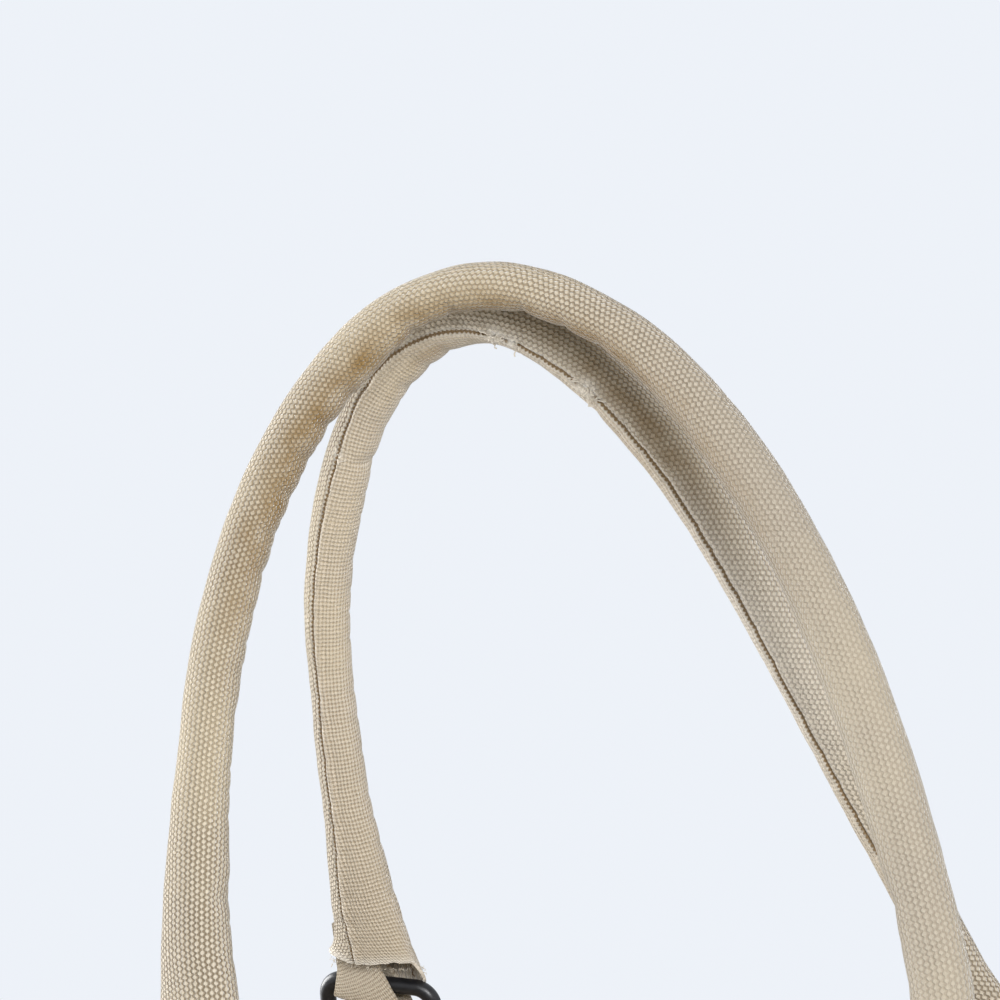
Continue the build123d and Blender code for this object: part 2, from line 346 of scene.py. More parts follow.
def woven(name, light, dark, across, along, relief=1.0, brick=True, with_marks=True):
    """Plain weave with knots `across` by `along` metres apart; a brick weave is staggered."""
    material, shader, place = new_material(name)
    tree = material.node_tree
    cloth_map = tree.nodes.new("ShaderNodeUVMap")
    cloth_map.uv_map = "cloth"
    flat = cloth_map.outputs[0]
    knot, v = knots(tree, flat, across, along, brick)
    slub = noise_value(flat, 850.0, 3.0)
    grain = calc("ADD", times(slub, 0.65), scaled(noise_value(flat, 3200.0), 0.75, -0.70))
    # painted flat light also flattens the weave's contrast
    crisp = less_than_full(painted(tree, "rubbed"))
    knot = scaled(calc("SUBTRACT", knot, 0.50), crisp, 0.50)
    color = blend_colors(calc("ADD", scaled(knot, 0.80, 0.10), grain), dark, light)
    if with_marks:
        color = wear_and_painted_light(tree, color, light, place, slub, v)
    link(color, shader.inputs["Base Color"])
    shader.inputs["Roughness"].default_value = 0.93
    shader.inputs["Sheen Weight"].default_value = 0.66
    shader.inputs["Sheen Roughness"].default_value = 0.26
    shader.inputs["Specular IOR Level"].default_value = 0.15
    add_bump(shader, calc("ADD", times(grain, 0.45), knot), relief, 0.30 * across)
    return material


# %% [markdown]
# The same weave makes every cloth of the bag. The handles and the case are coarse
# hopsack, the facing and straps are a finer square weave, and the tub is plain and thin.

# %% Cloths
CLOTHS = {  # light and dark yarn, knot spacing across and along
    "hopsack": ((0.628, 0.556, 0.448, 1.0), (0.218, 0.168, 0.106, 1.0), 0.00156, 0.00176),
    "facing_cloth": ((0.640, 0.560, 0.450, 1.0), (0.390, 0.315, 0.220, 1.0), 0.00118, 0.00145),
    "webbing": ((0.640, 0.565, 0.455, 1.0), (0.370, 0.300, 0.210, 1.0), 0.00105, 0.00125),
    # a darker copy of the hopsack for the inside of the rolls: painted shade
    "shaded_inside_cloth": ((0.43, 0.335, 0.215, 1.0), (0.20, 0.145, 0.080, 1.0), 0.0015, 0.0017),
    "tape_cloth": ((0.66, 0.575, 0.445, 1.0), (0.44, 0.365, 0.260, 1.0), 0.0006, 0.0009),
    "tub_cloth": ((0.34, 0.295, 0.235, 1.0), (0.22, 0.185, 0.14, 1.0), 0.0006, 0.0007),
}
hopsack = woven("hopsack", *CLOTHS["hopsack"])
facing_cloth = woven("facing_cloth", *CLOTHS["facing_cloth"], brick=False)
webbing = woven("webbing", *CLOTHS["webbing"], brick=False)
shaded_inside_cloth = woven("shaded_inside_cloth", *CLOTHS["shaded_inside_cloth"])
tape_cloth = woven("tape_cloth", *CLOTHS["tape_cloth"], relief=0.4)
tub_cloth = woven("tub_cloth", *CLOTHS["tub_cloth"], relief=0.3, with_marks=False)
print("cloths", list(CLOTHS))

# %% [markdown]
# ## Hard finishes and thread
# The rings, slider, pull and eyelets are metal with a satin black coat, the zip's coil
# is dull black nylon and the stiffener is grey board. Their colour and gloss vary a
# little over a few millimetres or less, as a tumbled coat does. Thread and cord are pale
# twisted cotton.

# %% Hard finishes
def coated(name, dark, light, roughness, grain=700.0):
    material, shader, place = new_material(name)
    fine = noise_value(place, grain, 4.0)
    link(blend_colors(fine, dark, light), shader.inputs["Base Color"])
    link(scaled(fine, 0.16, roughness), shader.inputs["Roughness"])
    shader.inputs["Specular IOR Level"].default_value = 0.40
    add_bump(shader, fine, 0.10, 0.0002)
    return material


def yarn_finish(name, light, dark):
    material, shader, place = new_material(name)
    link(blend_colors(noise_value(place, 2500.0), dark, light), shader.inputs["Base Color"])
    shader.inputs["Roughness"].default_value = 0.8
    shader.inputs["Sheen Weight"].default_value = 0.3
    return material


METAL_DARK, METAL_LIGHT = (0.005, 0.005, 0.006, 1.0), (0.016, 0.016, 0.018, 1.0)
NYLON_DARK, NYLON_LIGHT = (0.014, 0.014, 0.015, 1.0), (0.030, 0.030, 0.031, 1.0)
black_metal = coated("satin_black", METAL_DARK, METAL_LIGHT, 0.25)
black_nylon = coated("black_nylon", NYLON_DARK, NYLON_LIGHT, 0.45)
grey_board = coated("grey_board", (0.16, 0.15, 0.14, 1.0), (0.24, 0.23, 0.21, 1.0), 0.7, 300.0)
thread = yarn_finish("thread", (0.82, 0.76, 0.66, 1.0), (0.56, 0.50, 0.40, 1.0))
cord_yarn = yarn_finish("cord_yarn", (0.70, 0.65, 0.55, 1.0), (0.52, 0.47, 0.38, 1.0))


def finish_node(node, material):
    """Give a part of the frame its finish."""
    slots = bpy.data.objects[node].data.materials
    if len(slots) == 0:
        slots.append(material)
    for i in range(len(slots)):
        slots[i] = material


hard = [n for n in frame["nodes"] if n.endswith(("_ring", "_eyelets", "_zip_stop"))]
for node in hard + ["zip_slider", "zip_pull"]:
    finish_node(node, black_metal)
finish_node("base_board", grey_board)
print("hard parts", len(hard) + 3)

# %% [markdown]
# ## The handles' lines
# A handle is about 60 cm of rolled canvas. Both arches slouch to the left at the top and
# lean on each other there. Each line is a list of points from the left hem to the right
# hem; a smooth spline runs along them, and every later step reads it.

# %% Routes
RING_X = 0.1085
LEAN = math.radians(12.6)
HEM_RISE = 0.007
FRONT_ROUTE = [
    (-0.111, -0.0575, 0.264), (-0.113, -0.055, 0.275), (-0.115, -0.053, 0.285),
    (-0.1163, -0.05, 0.297), (-0.1185, -0.041, 0.34), (-0.1168, -0.033, 0.379),
    (-0.1091, -0.0258, 0.414), (-0.0937, -0.0186, 0.448), (-0.069, -0.0124, 0.475),
    (-0.036, -0.0096, 0.486), (-0.0026, -0.0118, 0.476), (0.0268, -0.0164, 0.455),
    (0.0518, -0.0222, 0.428), (0.0741, -0.0296, 0.394), (0.0914, -0.0375, 0.357),
    (0.1048, -0.0452, 0.321), (0.1124, -0.0515, 0.291), (0.1115, -0.056, 0.269),
]
REAR_ROUTE = [
    (-0.1086, 0.0575, 0.264), (-0.11, 0.055, 0.275), (-0.1122, 0.05, 0.295),
    (-0.1145, 0.0405, 0.337), (-0.1139, 0.032, 0.376), (-0.1064, 0.024, 0.411),
    (-0.0938, 0.017, 0.4426), (-0.0748, 0.012, 0.4649), (-0.0497, 0.0098, 0.4768),
    (-0.0273, 0.012, 0.4698), (-0.0057, 0.0162, 0.4503), (0.0119, 0.0206, 0.43),
    (0.0273, 0.0254, 0.406), (0.0458, 0.033, 0.37), (0.0638, 0.041, 0.334),
    (0.082, 0.0495, 0.298), (0.0905, 0.054, 0.2794), (0.0982, 0.057, 0.2655),
]


def rise(face):
    """Upward direction of a handle's foot: it leans towards the other handle."""
    return Vector((0.0, -face * math.sin(LEAN), math.cos(LEAN)))


def bar_point(side, x):
    """Middle of the ring's upper bar, which the handle turns on."""
    swing = next(j for j in frame["joints"] if j["name"] == f"{side}_handle_swing")
    return Vector((x, *swing["pos_m"][1:]))


def points_of(*coordinates):
    """Points, one a row, from their coordinates."""
    return np.stack(coordinates, axis=1)


def new_curve(name, resolution):
    curve = bpy.data.curves.new(name, "CURVE")
    curve.dimensions = "3D"
    curve.resolution_u = resolution
    return curve


def add_spline(curve, points):
    """A smooth spline from the first point to the last."""
    spline = curve.splines.new("NURBS")
    spline.points.add(len(points) - 1)
    for control, point in zip(spline.points, points):
        control.co = (*point, 1.0)
    spline.order_u = 3
    spline.use_endpoint_u = True


def curve_mesh(name, curve):
    holder = bpy.data.objects.new(name, curve)
    scene.collection.objects.link(holder)
    mesh = bpy.data.meshes.new_from_object(holder)
    bpy.data.objects.remove(holder)
    return mesh


def run_lengths(points):
    """Distance along a line at each of its points."""
    return np.concatenate([[0.0], np.cumsum(np.linalg.norm(np.diff(points, axis=0), axis=1))])


def smooth_line(points, step):
    """Evenly spaced points of the spline through a route, and the distance along it."""
    curve = new_curve("line", 24)
    add_spline(curve, points)
    mesh = curve_mesh("line", curve)
    raw = np.array([v.co for v in mesh.vertices])
    bpy.data.meshes.remove(mesh)
    lengths = run_lengths(raw)
    along = np.linspace(0.0, lengths[-1], max(2, round(lengths[-1] / step) + 1))
    return points_of(*(np.interp(along, lengths, raw[:, k]) for k in range(3))), along


print("route points", len(FRONT_ROUTE), len(REAR_ROUTE))

# %% [markdown]
# ## Cloth from a flat grid
# Every sewn piece starts as what it is on the cutting table: a flat grid of cloth. The
# grid is then laid into place by moving its vertices, and its UV map keeps the flat
# size in metres, so the weave stays true on every fold and roll.

# %% Cloth grid
CENTRE = (0, 0, 0.11)  # inside the case; cloth faces away from it


def unit(vectors):
    return vectors / np.linalg.norm(vectors, axis=-1, keepdims=True)


def ease(x, low, high):
    """Smooth step from 0 at low to 1 at high."""
    t = np.clip((x - low) / (high - low), 0.0, 1.0)
    return t * t * (3.0 - 2.0 * t)


def bell(x, width):
    """1 at the middle, falling smoothly to 0 over about two widths."""
    return np.exp(-((x / width) ** 2))


def wobble(points, size, seed):
    """Smooth noise from -1 to 1 at each point."""
    shift = Vector((seed * 7.31, seed * 3.17, seed * 1.93))
    return np.array([noise.noise(Vector(p) / size + shift) for p in points])


def row_of(share, rows):
    return np.rint(share * rows).astype(int)


def add_piece(name, mesh, materials, thickness=0.0):
    obj = bpy.data.objects.new(name, mesh)
    scene.collection.objects.link(obj)
    for material in materials:
        mesh.materials.append(material)
    mesh.polygons.foreach_set("use_smooth", [True] * len(mesh.polygons))
    if thickness:
        solid = obj.modifiers.new("thickness", "SOLIDIFY")
        solid.thickness = thickness
        solid.offset = -1.0
        solid.material_offset = len(materials) - 1
        solid.material_offset_rim = 0
    return obj


def cloth_grid(name, columns, rows, lay, inside, thickness=0.0, materials=(), holes=()):
    """Cloth whose lay(a, b) gives places and flat cloth coordinates, in metres."""
    bm = bmesh.new()
    bmesh.ops.create_grid(bm, x_segments=columns, y_segments=rows, size=0.5)
    bm.verts.ensure_lookup_table()
    flat = np.array([v.co for v in bm.verts])
    places, cloth, *marks = lay(flat[:, 0] + 0.5, flat[:, 1] + 0.5)
    for vert, place in zip(bm.verts, places):
        vert.co = place
    for label, values in marks:
        mark = bm.verts.layers.float.new(label)
        for vert, value in zip(bm.verts, values):
            vert[mark] = value
    layer = bm.loops.layers.uv.new("cloth")
    for face in bm.faces:
        for loop in face.loops:
            loop[layer].uv = cloth[loop.vert.index]
    bm.normal_update()
    inner = np.broadcast_to(np.array(inside, float), places.shape)
    corners = [(f.normal, f.verts[0]) for f in bm.faces]
    if sum(normal.dot(v.co - Vector(inner[v.index])) for normal, v in corners) < 0:
        bmesh.ops.reverse_faces(bm, faces=bm.faces)
    middles = [(f, f.calc_center_median()) for f in bm.faces]
    gone = [f for f, middle in middles if any((middle - p).length < r for p, r in holes)]
    bmesh.ops.delete(bm, geom=gone, context="FACES")
    bmesh.ops.remove_doubles(bm, verts=bm.verts, dist=0.000002)
    for edge in bm.edges:
        edge.smooth = not edge.is_boundary  # a cut edge stays crisp beside the rim
    return add_piece(name, mesh_of(name, bm), materials, thickness)


print("cloth grid ready")

# %% [markdown]
# ## Handle covers
# A cover is two strips of canvas sewn round a cord: a broad one of coarse hopsack and a
# narrower facing of finer weave. Along each seam the folded edges meet in a groove. The
# stitches pull the cloth in, so small puckers run along the seams and the cloth swells
# between them. At each end the roll opens into a flat cuff with a worn, uneven hem.
# Rolling a flat grid round the line, row by row, gives all of it in one piece.

# %% Line and girth of a roll
ROUND_STEPS = 84
ALONG_STEP = 0.0012
CUFF_L = 0.040  # over this length from its hem the roll keeps the foot's direction
SEAM_CROWDING = 0.045


def smooth_key(share, keys, width):
    """Values between keys, smoothed over a few rows."""
    values = np.pad(np.interp(share, *zip(*keys)), width, mode="edge")
    return np.convolve(values, np.ones(2 * width + 1) / (2 * width + 1), mode="valid")


def handle_frames(face, route, shift):
    """Line of a handle with its inward and seamward directions."""
    points, along = smooth_line(route, ALONG_STEP)
    tangents = unit(np.gradient(points, axis=0))
    near = np.minimum(along, along[-1] - along)
    sign = np.where(along < along[-1] / 2, 1.0, -1.0)[:, None]
    hold = (1.0 - ease(near, 0.0, CUFF_L))[:, None]
    tangents = unit(tangents * (1 - hold) + sign * np.array(rise(face)) * hold)
    seamward = np.array([0.0, -float(face), 0.0])
    seamward = unit(seamward - (tangents @ seamward)[:, None] * tangents)
    inward = face * np.cross(tangents, seamward)
    moved = smooth_key(along / along[-1], shift, 7)
    return points - inward * moved[:, None], along, inward, seamward, near


def oval_walk(width, depth, start, turns):
    """Angle at each share of the way round an oval, and its girth."""
    angles = np.linspace(0.0, 2 * np.pi, 241)
    oval = points_of(width / 2 * np.cos(angles), depth / 2 * np.sin(angles))
    lengths = run_lengths(oval)
    begin = np.interp(np.mod(start, 2 * np.pi), angles, lengths)
    way = np.mod(begin - turns * lengths[-1], lengths[-1])
    return np.interp(way, lengths, angles), lengths[-1]


def turn_of(column_share):
    """Share of the way round for a share of the columns: closer columns at the seam."""
    return column_share - SEAM_CROWDING * np.sin(2 * np.pi * column_share)


def angle_off(angle, degrees):
    """How far each angle is from a direction, the short way round."""
    return np.angle(np.exp(1j * (angle - math.radians(degrees))))


print("points round a roll", ROUND_STEPS)

# %% [markdown]
# The relief of the cloth is worked out row by row: the lips and groove of each seam, the
# puckers that the stitches pull, and the dents of a bend. The marks of use, with the
# painted light and shade laid in among them, are laid on in the same way.

# %% Relief and marks of a roll
LIP_RISE = (0.00060, 0.00025)  # the folded edge on either side of the groove
PUCKER_PITCH = 0.0115
PUCKER_DEPTH = 0.0005
HEM_WORN = 0.80


def cloth_relief(keys, s, length, drift, turn, angle, from_seam, from_other):
    """How far the cloth stands out of the oval at a distance s along the handle."""
    lift = -0.0003 * bell(from_seam, 0.00050)
    edge = ease(from_seam, 0.0001, 0.0006) - ease(from_seam, 0.0026, 0.0034)
    lift += np.where(turn < 0.5, *LIP_RISE) * edge
    lift -= 0.0007 * bell(from_other, 0.0008)
    # stitches pull the cloth in, so it puffs between them
    pinch = (1.0 - abs(math.sin(math.pi * (s / PUCKER_PITCH + 1.3 * drift)))) ** 2.5
    lift -= PUCKER_DEPTH * pinch * (bell(from_seam, 0.0050) + bell(from_other, 0.0070))
    for at, deep, where, spread in keys["dents"]:
        reach = abs(s - at * length)
        if reach < 0.030:
            around = bell(angle_off(angle, where), 0.85)
            lift -= deep * math.exp(-((reach / spread) ** 1.2)) * around
    return lift


def marks_and_painted_light(keys, s, length, near, angle, from_seam):
    """How pale and how dark the cloth is at a distance s along the handle: wear with painted
    light, and stains with painted shade.
    """
    worn_and_lit = sum(
        amount * (bell(s - at * length, reach) * bell(from_seam, wide))
        for at, reach, wide, amount in keys["worn_and_lit"]
    )
    stain = sum(
        amount * (bell(s - at * length, reach) * bell(angle_off(angle, where), spread))
        for at, reach, where, spread, amount in keys["stains_and_shade"]
    )
    worn_and_lit = worn_and_lit + HEM_WORN * bell(near, 0.0032)
    return worn_and_lit, stain


print("relief and marks ready")

# %% [markdown]
# The roll itself is one flat grid. Each row is walked round an oval that widens into the
# cuff, raised by the relief and set in place on the handle's line.

# %% Roll of cloth
COVER_T = 0.0011
CUFF_W = 0.010  # a cuff is this much wider than the roll, and its lip wider still


def handle_cover(side, face, route, keys):
    """Roll strips of canvas round a handle's line."""
    points, along, inward, seamward, near = handle_frames(face, route, keys["shift"])
    rows, length = len(along) - 1, along[-1]
    share = along / length
    seam = np.radians(smooth_key(share, keys["seam"], 5))
    radius = smooth_key(share, keys["radius"], 6)
    drift = [noise.noise(Vector((s / 0.030, face * 3.0, 0.3))) for s in along]
    up = np.array(rise(face))
    other_seam = turn_of(keys["facing"] / ROUND_STEPS)

    def lay(a, b):
        row = row_of(b, rows)
        turn = turn_of(a)
        places, cloth = np.zeros((len(a), 3)), np.zeros((len(a), 2))
        nearness, worn_and_lit, stain = np.zeros(len(a)), np.zeros(len(a)), np.zeros(len(a))
        for i in range(rows + 1):
            pick = np.where(row == i)[0]
            s, d, t = along[i], near[i], turn[pick]
            end = "left" if s < length / 2 else "right"
            lip, flare = keys["lip"][end], keys["flare"][end]
            opening = lip * math.exp(-d / 0.008) + CUFF_W * math.exp(-d / 0.036)
            width = 2 * radius[i] + flare * opening
            depth = 2 * radius[i] - 0.003 * math.exp(-d / 0.020)
            angle, girth = oval_walk(width, depth, seam[i], t)
            from_seam = np.minimum(t, 1.0 - t) * girth
            from_other = np.abs(t - other_seam) * girth
            lift = cloth_relief(keys, s, length, drift[i], t, angle, from_seam, from_other)
            rim = np.interp(np.degrees(np.mod(angle, 2 * np.pi)), *zip(*keys["hem"][end]))
            places[pick] = (
                points[i]
                + np.outer((width / 2 + lift) * np.cos(angle), inward[i])
                + np.outer((depth / 2 + lift) * np.sin(angle), seamward[i])
                + np.outer(rim * math.exp(-d / 0.010), up)
            )
            cloth[pick, 0], cloth[pick, 1] = (t - 0.5) * girth, s
            nearness[pick] = np.clip(1 - np.minimum(from_seam, from_other) / SEAM_REACH, 0, 1)
            worn_and_lit[pick], stain[pick] = marks_and_painted_light(keys, s, length, d, angle, from_seam)
        lumps = wobble(places, 0.030, 3) * 0.00030 + wobble(places, 0.010, 5) * 0.00020
        ragged = wobble(places, 0.0030, 8) * 0.0006 * np.exp(-near[row] / 0.002)
        places += unit(places - points[row]) * lumps[:, None] + ragged[:, None] * up
        # painted flat light, by share of the length
        rubbed = np.interp(b, *zip(*keys["rubbed"]))
        stain, worn_and_lit = np.clip(stain, 0, 1), np.clip(worn_and_lit, 0, 1)
        marks = {"seam": nearness, "fade": worn_and_lit, "stain": stain, "rubbed": rubbed}
        return places, cloth, *marks.items()

    inside = np.repeat(points, ROUND_STEPS + 1, axis=0)
    # the inner side of the roll gets the darker copy: painted shade inside the cuffs
    cloths = (hopsack, facing_cloth, shaded_inside_cloth)
    obj = cloth_grid(f"{side}_cover", ROUND_STEPS, rows, lay, inside, COVER_T, cloths)
    column = np.arange(len(obj.data.polygons)) % ROUND_STEPS
    strip = (column < keys["facing"]).astype(np.int32)
    obj.data.polygons.foreach_set("material_index", strip)
    print(side, "cover: length", round(length, 4), "faces", len(strip))
    return obj, (points, along, inward, seamward, seam, radius)


# %% [markdown]
# ## Keys of the two handles
# Everything that makes a handle its own is listed here. A key is a share of the length
# with a value: the seam's angle from the inner side in degrees, the radius, and how far
# the roll is shifted sideways. A hem's keys are degrees with a rise.

# %% Hems
HEM_SEAM_SIDE = [
    (0, -0.002), (25, 0.0042), (60, 0.005), (90, 0.004), (110, 0.0031), (135, 0.004),
    (180, 0.0046), (225, -0.0012), (270, -0.0074), (315, -0.0088), (340, -0.0062),
    (360, -0.002),
]
HEM_PLAIN = [
    (0, 0.001), (60, 0.0022), (110, 0.0014), (180, 0.002), (250, -0.001), (320, -0.0018),
    (360, 0.001),
]
print("hem keys", len(HEM_SEAM_SIDE), len(HEM_PLAIN))

# %% Front handle
FRONT_KEYS = {
    "seam": [(0.0, 108), (0.5, 105), (1.0, 108)],
    "facing": 20,
    "radius": [
        (0.0, 0.0088), (0.05, 0.0093), (0.095, 0.0091), (0.12, 0.0082), (0.16, 0.008),
        (0.195, 0.0084), (0.235, 0.0082), (0.27, 0.0083), (0.34, 0.0083), (0.4, 0.0084),
        (0.418, 0.008), (0.432, 0.0071), (0.452, 0.007), (0.474, 0.0074), (0.496, 0.0071),
        (0.518, 0.0075), (0.54, 0.0073), (0.563, 0.0071), (0.585, 0.0074), (0.607, 0.0079),
        (0.64, 0.0082), (0.7, 0.0082), (0.78, 0.0084), (0.875, 0.0083), (0.904, 0.0077),
        (0.929, 0.0073), (1.0, 0.007),
    ],
    "shift": [
        (0.0, 0.0), (0.06, -0.0004), (0.12, 0.0003), (0.2, 0.0), (0.27, -0.0003),
        (0.34, -0.0004), (0.4, 0.0), (0.43, 0.0013), (0.45, 0.0009), (0.48, 0.0006),
        (0.52, 0.0004), (0.545, 0.0006), (0.565, 0.0014), (0.59, 0.0009), (0.63, 0.0002),
        (0.7, 0.0), (0.74, -0.0002), (0.8, 0.0), (0.875, 0.0), (0.904, 0.0011),
        (0.929, 0.0017), (1.0, 0.0018),
    ],
    "flare": {"left": 1.05, "right": 0.75},
    "lip": {"left": 0.0065, "right": 0.0065},
    "hem": {"left": HEM_PLAIN, "right": HEM_PLAIN},
    "dents": [  # share of the length, depth, angle from the inner side, reach
        (0.203, 0.0006, 355, 0.0035), (0.262, 0.0008, 355, 0.004),
        (0.284, 0.0013, 355, 0.0036), (0.306, 0.0016, 352, 0.0036),
        (0.329, 0.0018, 350, 0.0034), (0.351, 0.0018, 350, 0.0032),
        (0.374, 0.0011, 350, 0.0036), (0.426, 0.0011, 345, 0.0024),
        (0.454, 0.0011, 345, 0.0022), (0.499, 0.0009, 345, 0.0022),
        (0.526, 0.0008, 345, 0.0024), (0.549, 0.0009, 345, 0.0028),
        (0.084, 0.0012, 355, 0.004), (0.88, 0.0018, 0, 0.006),
    ],
    "worn_and_lit": [],
    # painted flat light: the right leg is lit flat from the front, so its colour is duller and
    # its weave flatter
    "rubbed": [(0.0, 0.0), (0.5, 0.0), (0.66, 0.48), (0.85, 0.48), (1.0, 0.48)],
    # stains together with painted shade: the crown's inner half and the inner side of the legs
    # are darkened where shade falls under the arch
    "stains_and_shade": [  # share, reach, angle, spread of the angle, amount
        (0.44, 0.085, 330, 1.0, 1.0), (0.47, 0.1, 350, 0.45, 0.5),
        (0.3, 0.045, 315, 0.9, 0.65), (0.35, 0.016, 330, 0.6, 0.3),
        (0.405, 0.012, 330, 0.5, 0.45), (0.43, 0.009, 335, 0.6, 0.6),
        (0.462, 0.008, 340, 0.6, 0.7), (0.485, 0.01, 320, 0.5, 0.3),
        (0.508, 0.007, 340, 0.6, 0.6), (0.545, 0.008, 340, 0.6, 0.6),
        (0.575, 0.014, 335, 0.5, 0.4), (0.64, 0.045, 320, 0.8, 0.45),
        (0.87, 0.014, 340, 0.6, 0.25),
    ],
}
print("front dents", len(FRONT_KEYS["dents"]))

# %% Rear handle
REAR_KEYS = {
    "seam": [
        (0.0, 107), (0.05, 115), (0.09, 108), (0.15, 106), (0.19, 102), (0.26, 100), (0.3, 97),
        (0.335, 92), (0.36, 95), (0.39, 100), (0.41, 96), (0.425, 91), (0.437, 83), (0.45, 76),
        (0.46, 68), (0.47, 58), (0.482, 51), (0.5, 51), (0.52, 54), (0.54, 63), (0.56, 69),
        (0.62, 69), (0.66, 66), (0.7, 64), (0.76, 62), (0.83, 64), (1.0, 75),
    ],
    "facing": 36,
    "radius": [
        (0.0, 0.0092), (0.03, 0.0091), (0.053, 0.0089), (0.077, 0.0083), (0.1, 0.0075),
        (0.13, 0.0074), (0.15, 0.0075), (0.172, 0.0071), (0.196, 0.007), (0.22, 0.0075),
        (0.29, 0.0078), (0.338, 0.0082), (0.362, 0.0077), (0.4, 0.008), (0.48, 0.008),
        (0.52, 0.0085), (0.56, 0.0084), (0.62, 0.0089), (0.7, 0.009), (0.76, 0.0086),
        (0.84, 0.0082), (0.88, 0.0081), (0.93, 0.0076), (1.0, 0.007),
    ],
    "shift": [
        (0.0, -0.0008), (0.018, 0.0004), (0.03, 0.0012), (0.053, 0.0008), (0.08, 0.0001),
        (0.11, 0.0003), (0.15, 0.0), (0.196, -0.0003), (0.22, 0.0), (0.27, -0.0003),
        (0.34, -0.0006), (0.39, -0.0003), (0.42, 0.0), (0.48, -0.0003), (0.52, 0.0004),
        (0.565, 0.0009), (0.6, 0.001), (0.7, 0.001), (0.76, 0.0006), (0.84, 0.0002),
        (0.88, -0.0001), (0.93, -0.0008), (0.96, -0.0014), (1.0, -0.0014),
    ],
    "flare": {"left": 1.0, "right": 0.65},
    "lip": {"left": 0.007, "right": 0.005},
    "hem": {"left": HEM_SEAM_SIDE, "right": HEM_PLAIN},
    "dents": [
        (0.344, 0.0016, 5, 0.0022), (0.404, 0.0009, 5, 0.0028), (0.427, 0.0009, 5, 0.0028),
        (0.445, 0.001, 5, 0.0026), (0.565, 0.0008, 5, 0.003), (0.395, 0.0012, 120, 0.0026),
    ],
    "worn_and_lit": [  # share, reach, distance from the seam, amount
        (0.488, 0.0028, 0.0026, 0.9), (0.5, 0.0016, 0.0024, 0.7),
        (0.553, 0.0034, 0.0028, 0.9), (0.345, 0.0022, 0.0022, 0.5),
        (0.47, 0.03, 0.005, 0.22), (0.54, 0.03, 0.005, 0.2),
        # the entry at 0.74, wide round the roll, is painted light on the lower right leg
        (0.64, 0.05, 0.003, 0.15), (0.74, 0.055, 0.02, 0.42),
    ],
    # painted flat light on the lower right leg
    "rubbed": [(0.0, 0.0), (0.56, 0.0), (0.75, 0.1), (1.0, 0.1)],
    "stains_and_shade": [
        (0.437, 0.008, 40, 0.6, 0.5), (0.6, 0.02, 30, 0.3, 0.3),
        # painted shade: the entry at 0.56, angle 115, lies where the front handle shades this
        # one, and the one at 0.47, angle 160, is the contact shadow under the front crown
        (0.56, 0.06, 115, 0.7, 0.45), (0.52, 0.08, 35, 0.3, 0.3),
        (0.47, 0.05, 160, 0.35, 0.9), (0.6, 0.03, 100, 0.6, 0.5),
    ],
}
print("rear dents", len(REAR_KEYS["dents"]))

# %% [markdown]
# Both covers end just above the rings' upper bars, so each route gets a hem at both ends.

# %% Roll both covers
HANDLES = {"front": (FRONT_ROUTE, FRONT_KEYS), "rear": (REAR_ROUTE, REAR_KEYS)}
lines = {}
for side, face in SIDES:
    route, keys = HANDLES[side]
    hems = [tuple(bar_point(side, way * RING_X) + rise(face) * HEM_RISE) for _, way in ENDS]
    cover, lines[side] = handle_cover(side, face, [hems[0], *route, hems[1]], keys)
    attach(cover, f"{side}_handle")
    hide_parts(f"{side}_handle_cover")

# %% [markdown]
# ## Cord inside the handles
# The roll is filled by a laid cotton rope. It can only be glimpsed through the open
# cuffs, so a tube with three rounded strands that turn round it is enough.

# %% Handle cores
CORE_R = 0.0046
LAY_LENGTH = 0.030
STRAND_RISE = 0.0007
CORE_START = 22  # rows of the roll from the hem to the cord's end
for side, face in SIDES:
    points, along, inward, seamward, _, _ = lines[side]
    rows = len(along) - 1

    def twist(a, b):
        row = row_of(b, rows)
        kept = np.clip(row, CORE_START, rows - CORE_START)
        angle = 2 * np.pi * a
        strand = np.abs(np.cos(1.5 * (angle - 2 * np.pi * along[kept] / LAY_LENGTH)))
        size = (CORE_R - STRAND_RISE + STRAND_RISE * strand) * (row == kept)
        ring = inward[kept] * np.cos(angle)[:, None] + seamward[kept] * np.sin(angle)[:, None]
        return points[kept] + ring * size[:, None], points_of(angle * CORE_R, along[kept])

    kept_rows = np.clip(np.arange(rows + 1), CORE_START, rows - CORE_START)
    middles = np.repeat(points[kept_rows], 25, axis=0)
    core = cloth_grid(f"{side}_core", 24, rows, twist, middles, 0.0, (cord_yarn,))
    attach(core, f"{side}_handle")
    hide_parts(f"{side}_handle_core")
    print(side, "cord", round(along[-1] - 2 * CORE_START * ALONG_STEP, 3), "long")

# %% [markdown]
# ## Webbing tabs at the handle ends
# A short length of canvas strap comes out of each cuff, passes round the ring's upper
# bar and goes back in. It hangs a little slack and fans out to the ring's width. A
# smooth line gives its side view, and a grid laid along it gives its width.

# %% Handle tabs
TAB_T = 0.0014
TAB_COLUMNS = 26
CUT_SLANT = {"left": math.radians(20), "right": math.radians(-14)}  # of the weave
TAB_SIDE = [  # seamward and upward from the ring's upper bar
    (0.0016, 0.021), (0.0024, 0.012), (0.0038, 0.0045), (0.005, -0.002), (0.0046, -0.007),
    (0.0, -0.0088), (-0.0046, -0.007), (-0.005, -0.002), (-0.0038, 0.0045),
    (-0.0024, 0.012), (-0.0016, 0.021),
]
TAB_WIDTH = [
    (0.0, 0.015), (0.25, 0.017), (0.36, 0.0225), (0.5, 0.03), (0.64, 0.0225),
    (0.75, 0.017), (1.0, 0.015),
]
TAB_OFFSET = {  # above and below the bar, along X
    "rear_left": (-0.0060, -0.0022),
    "rear_right": (0.0020, 0.0010),
    "front_left": (0.0015, -0.0010),
    "front_right": (-0.0020, 0.0012),
}


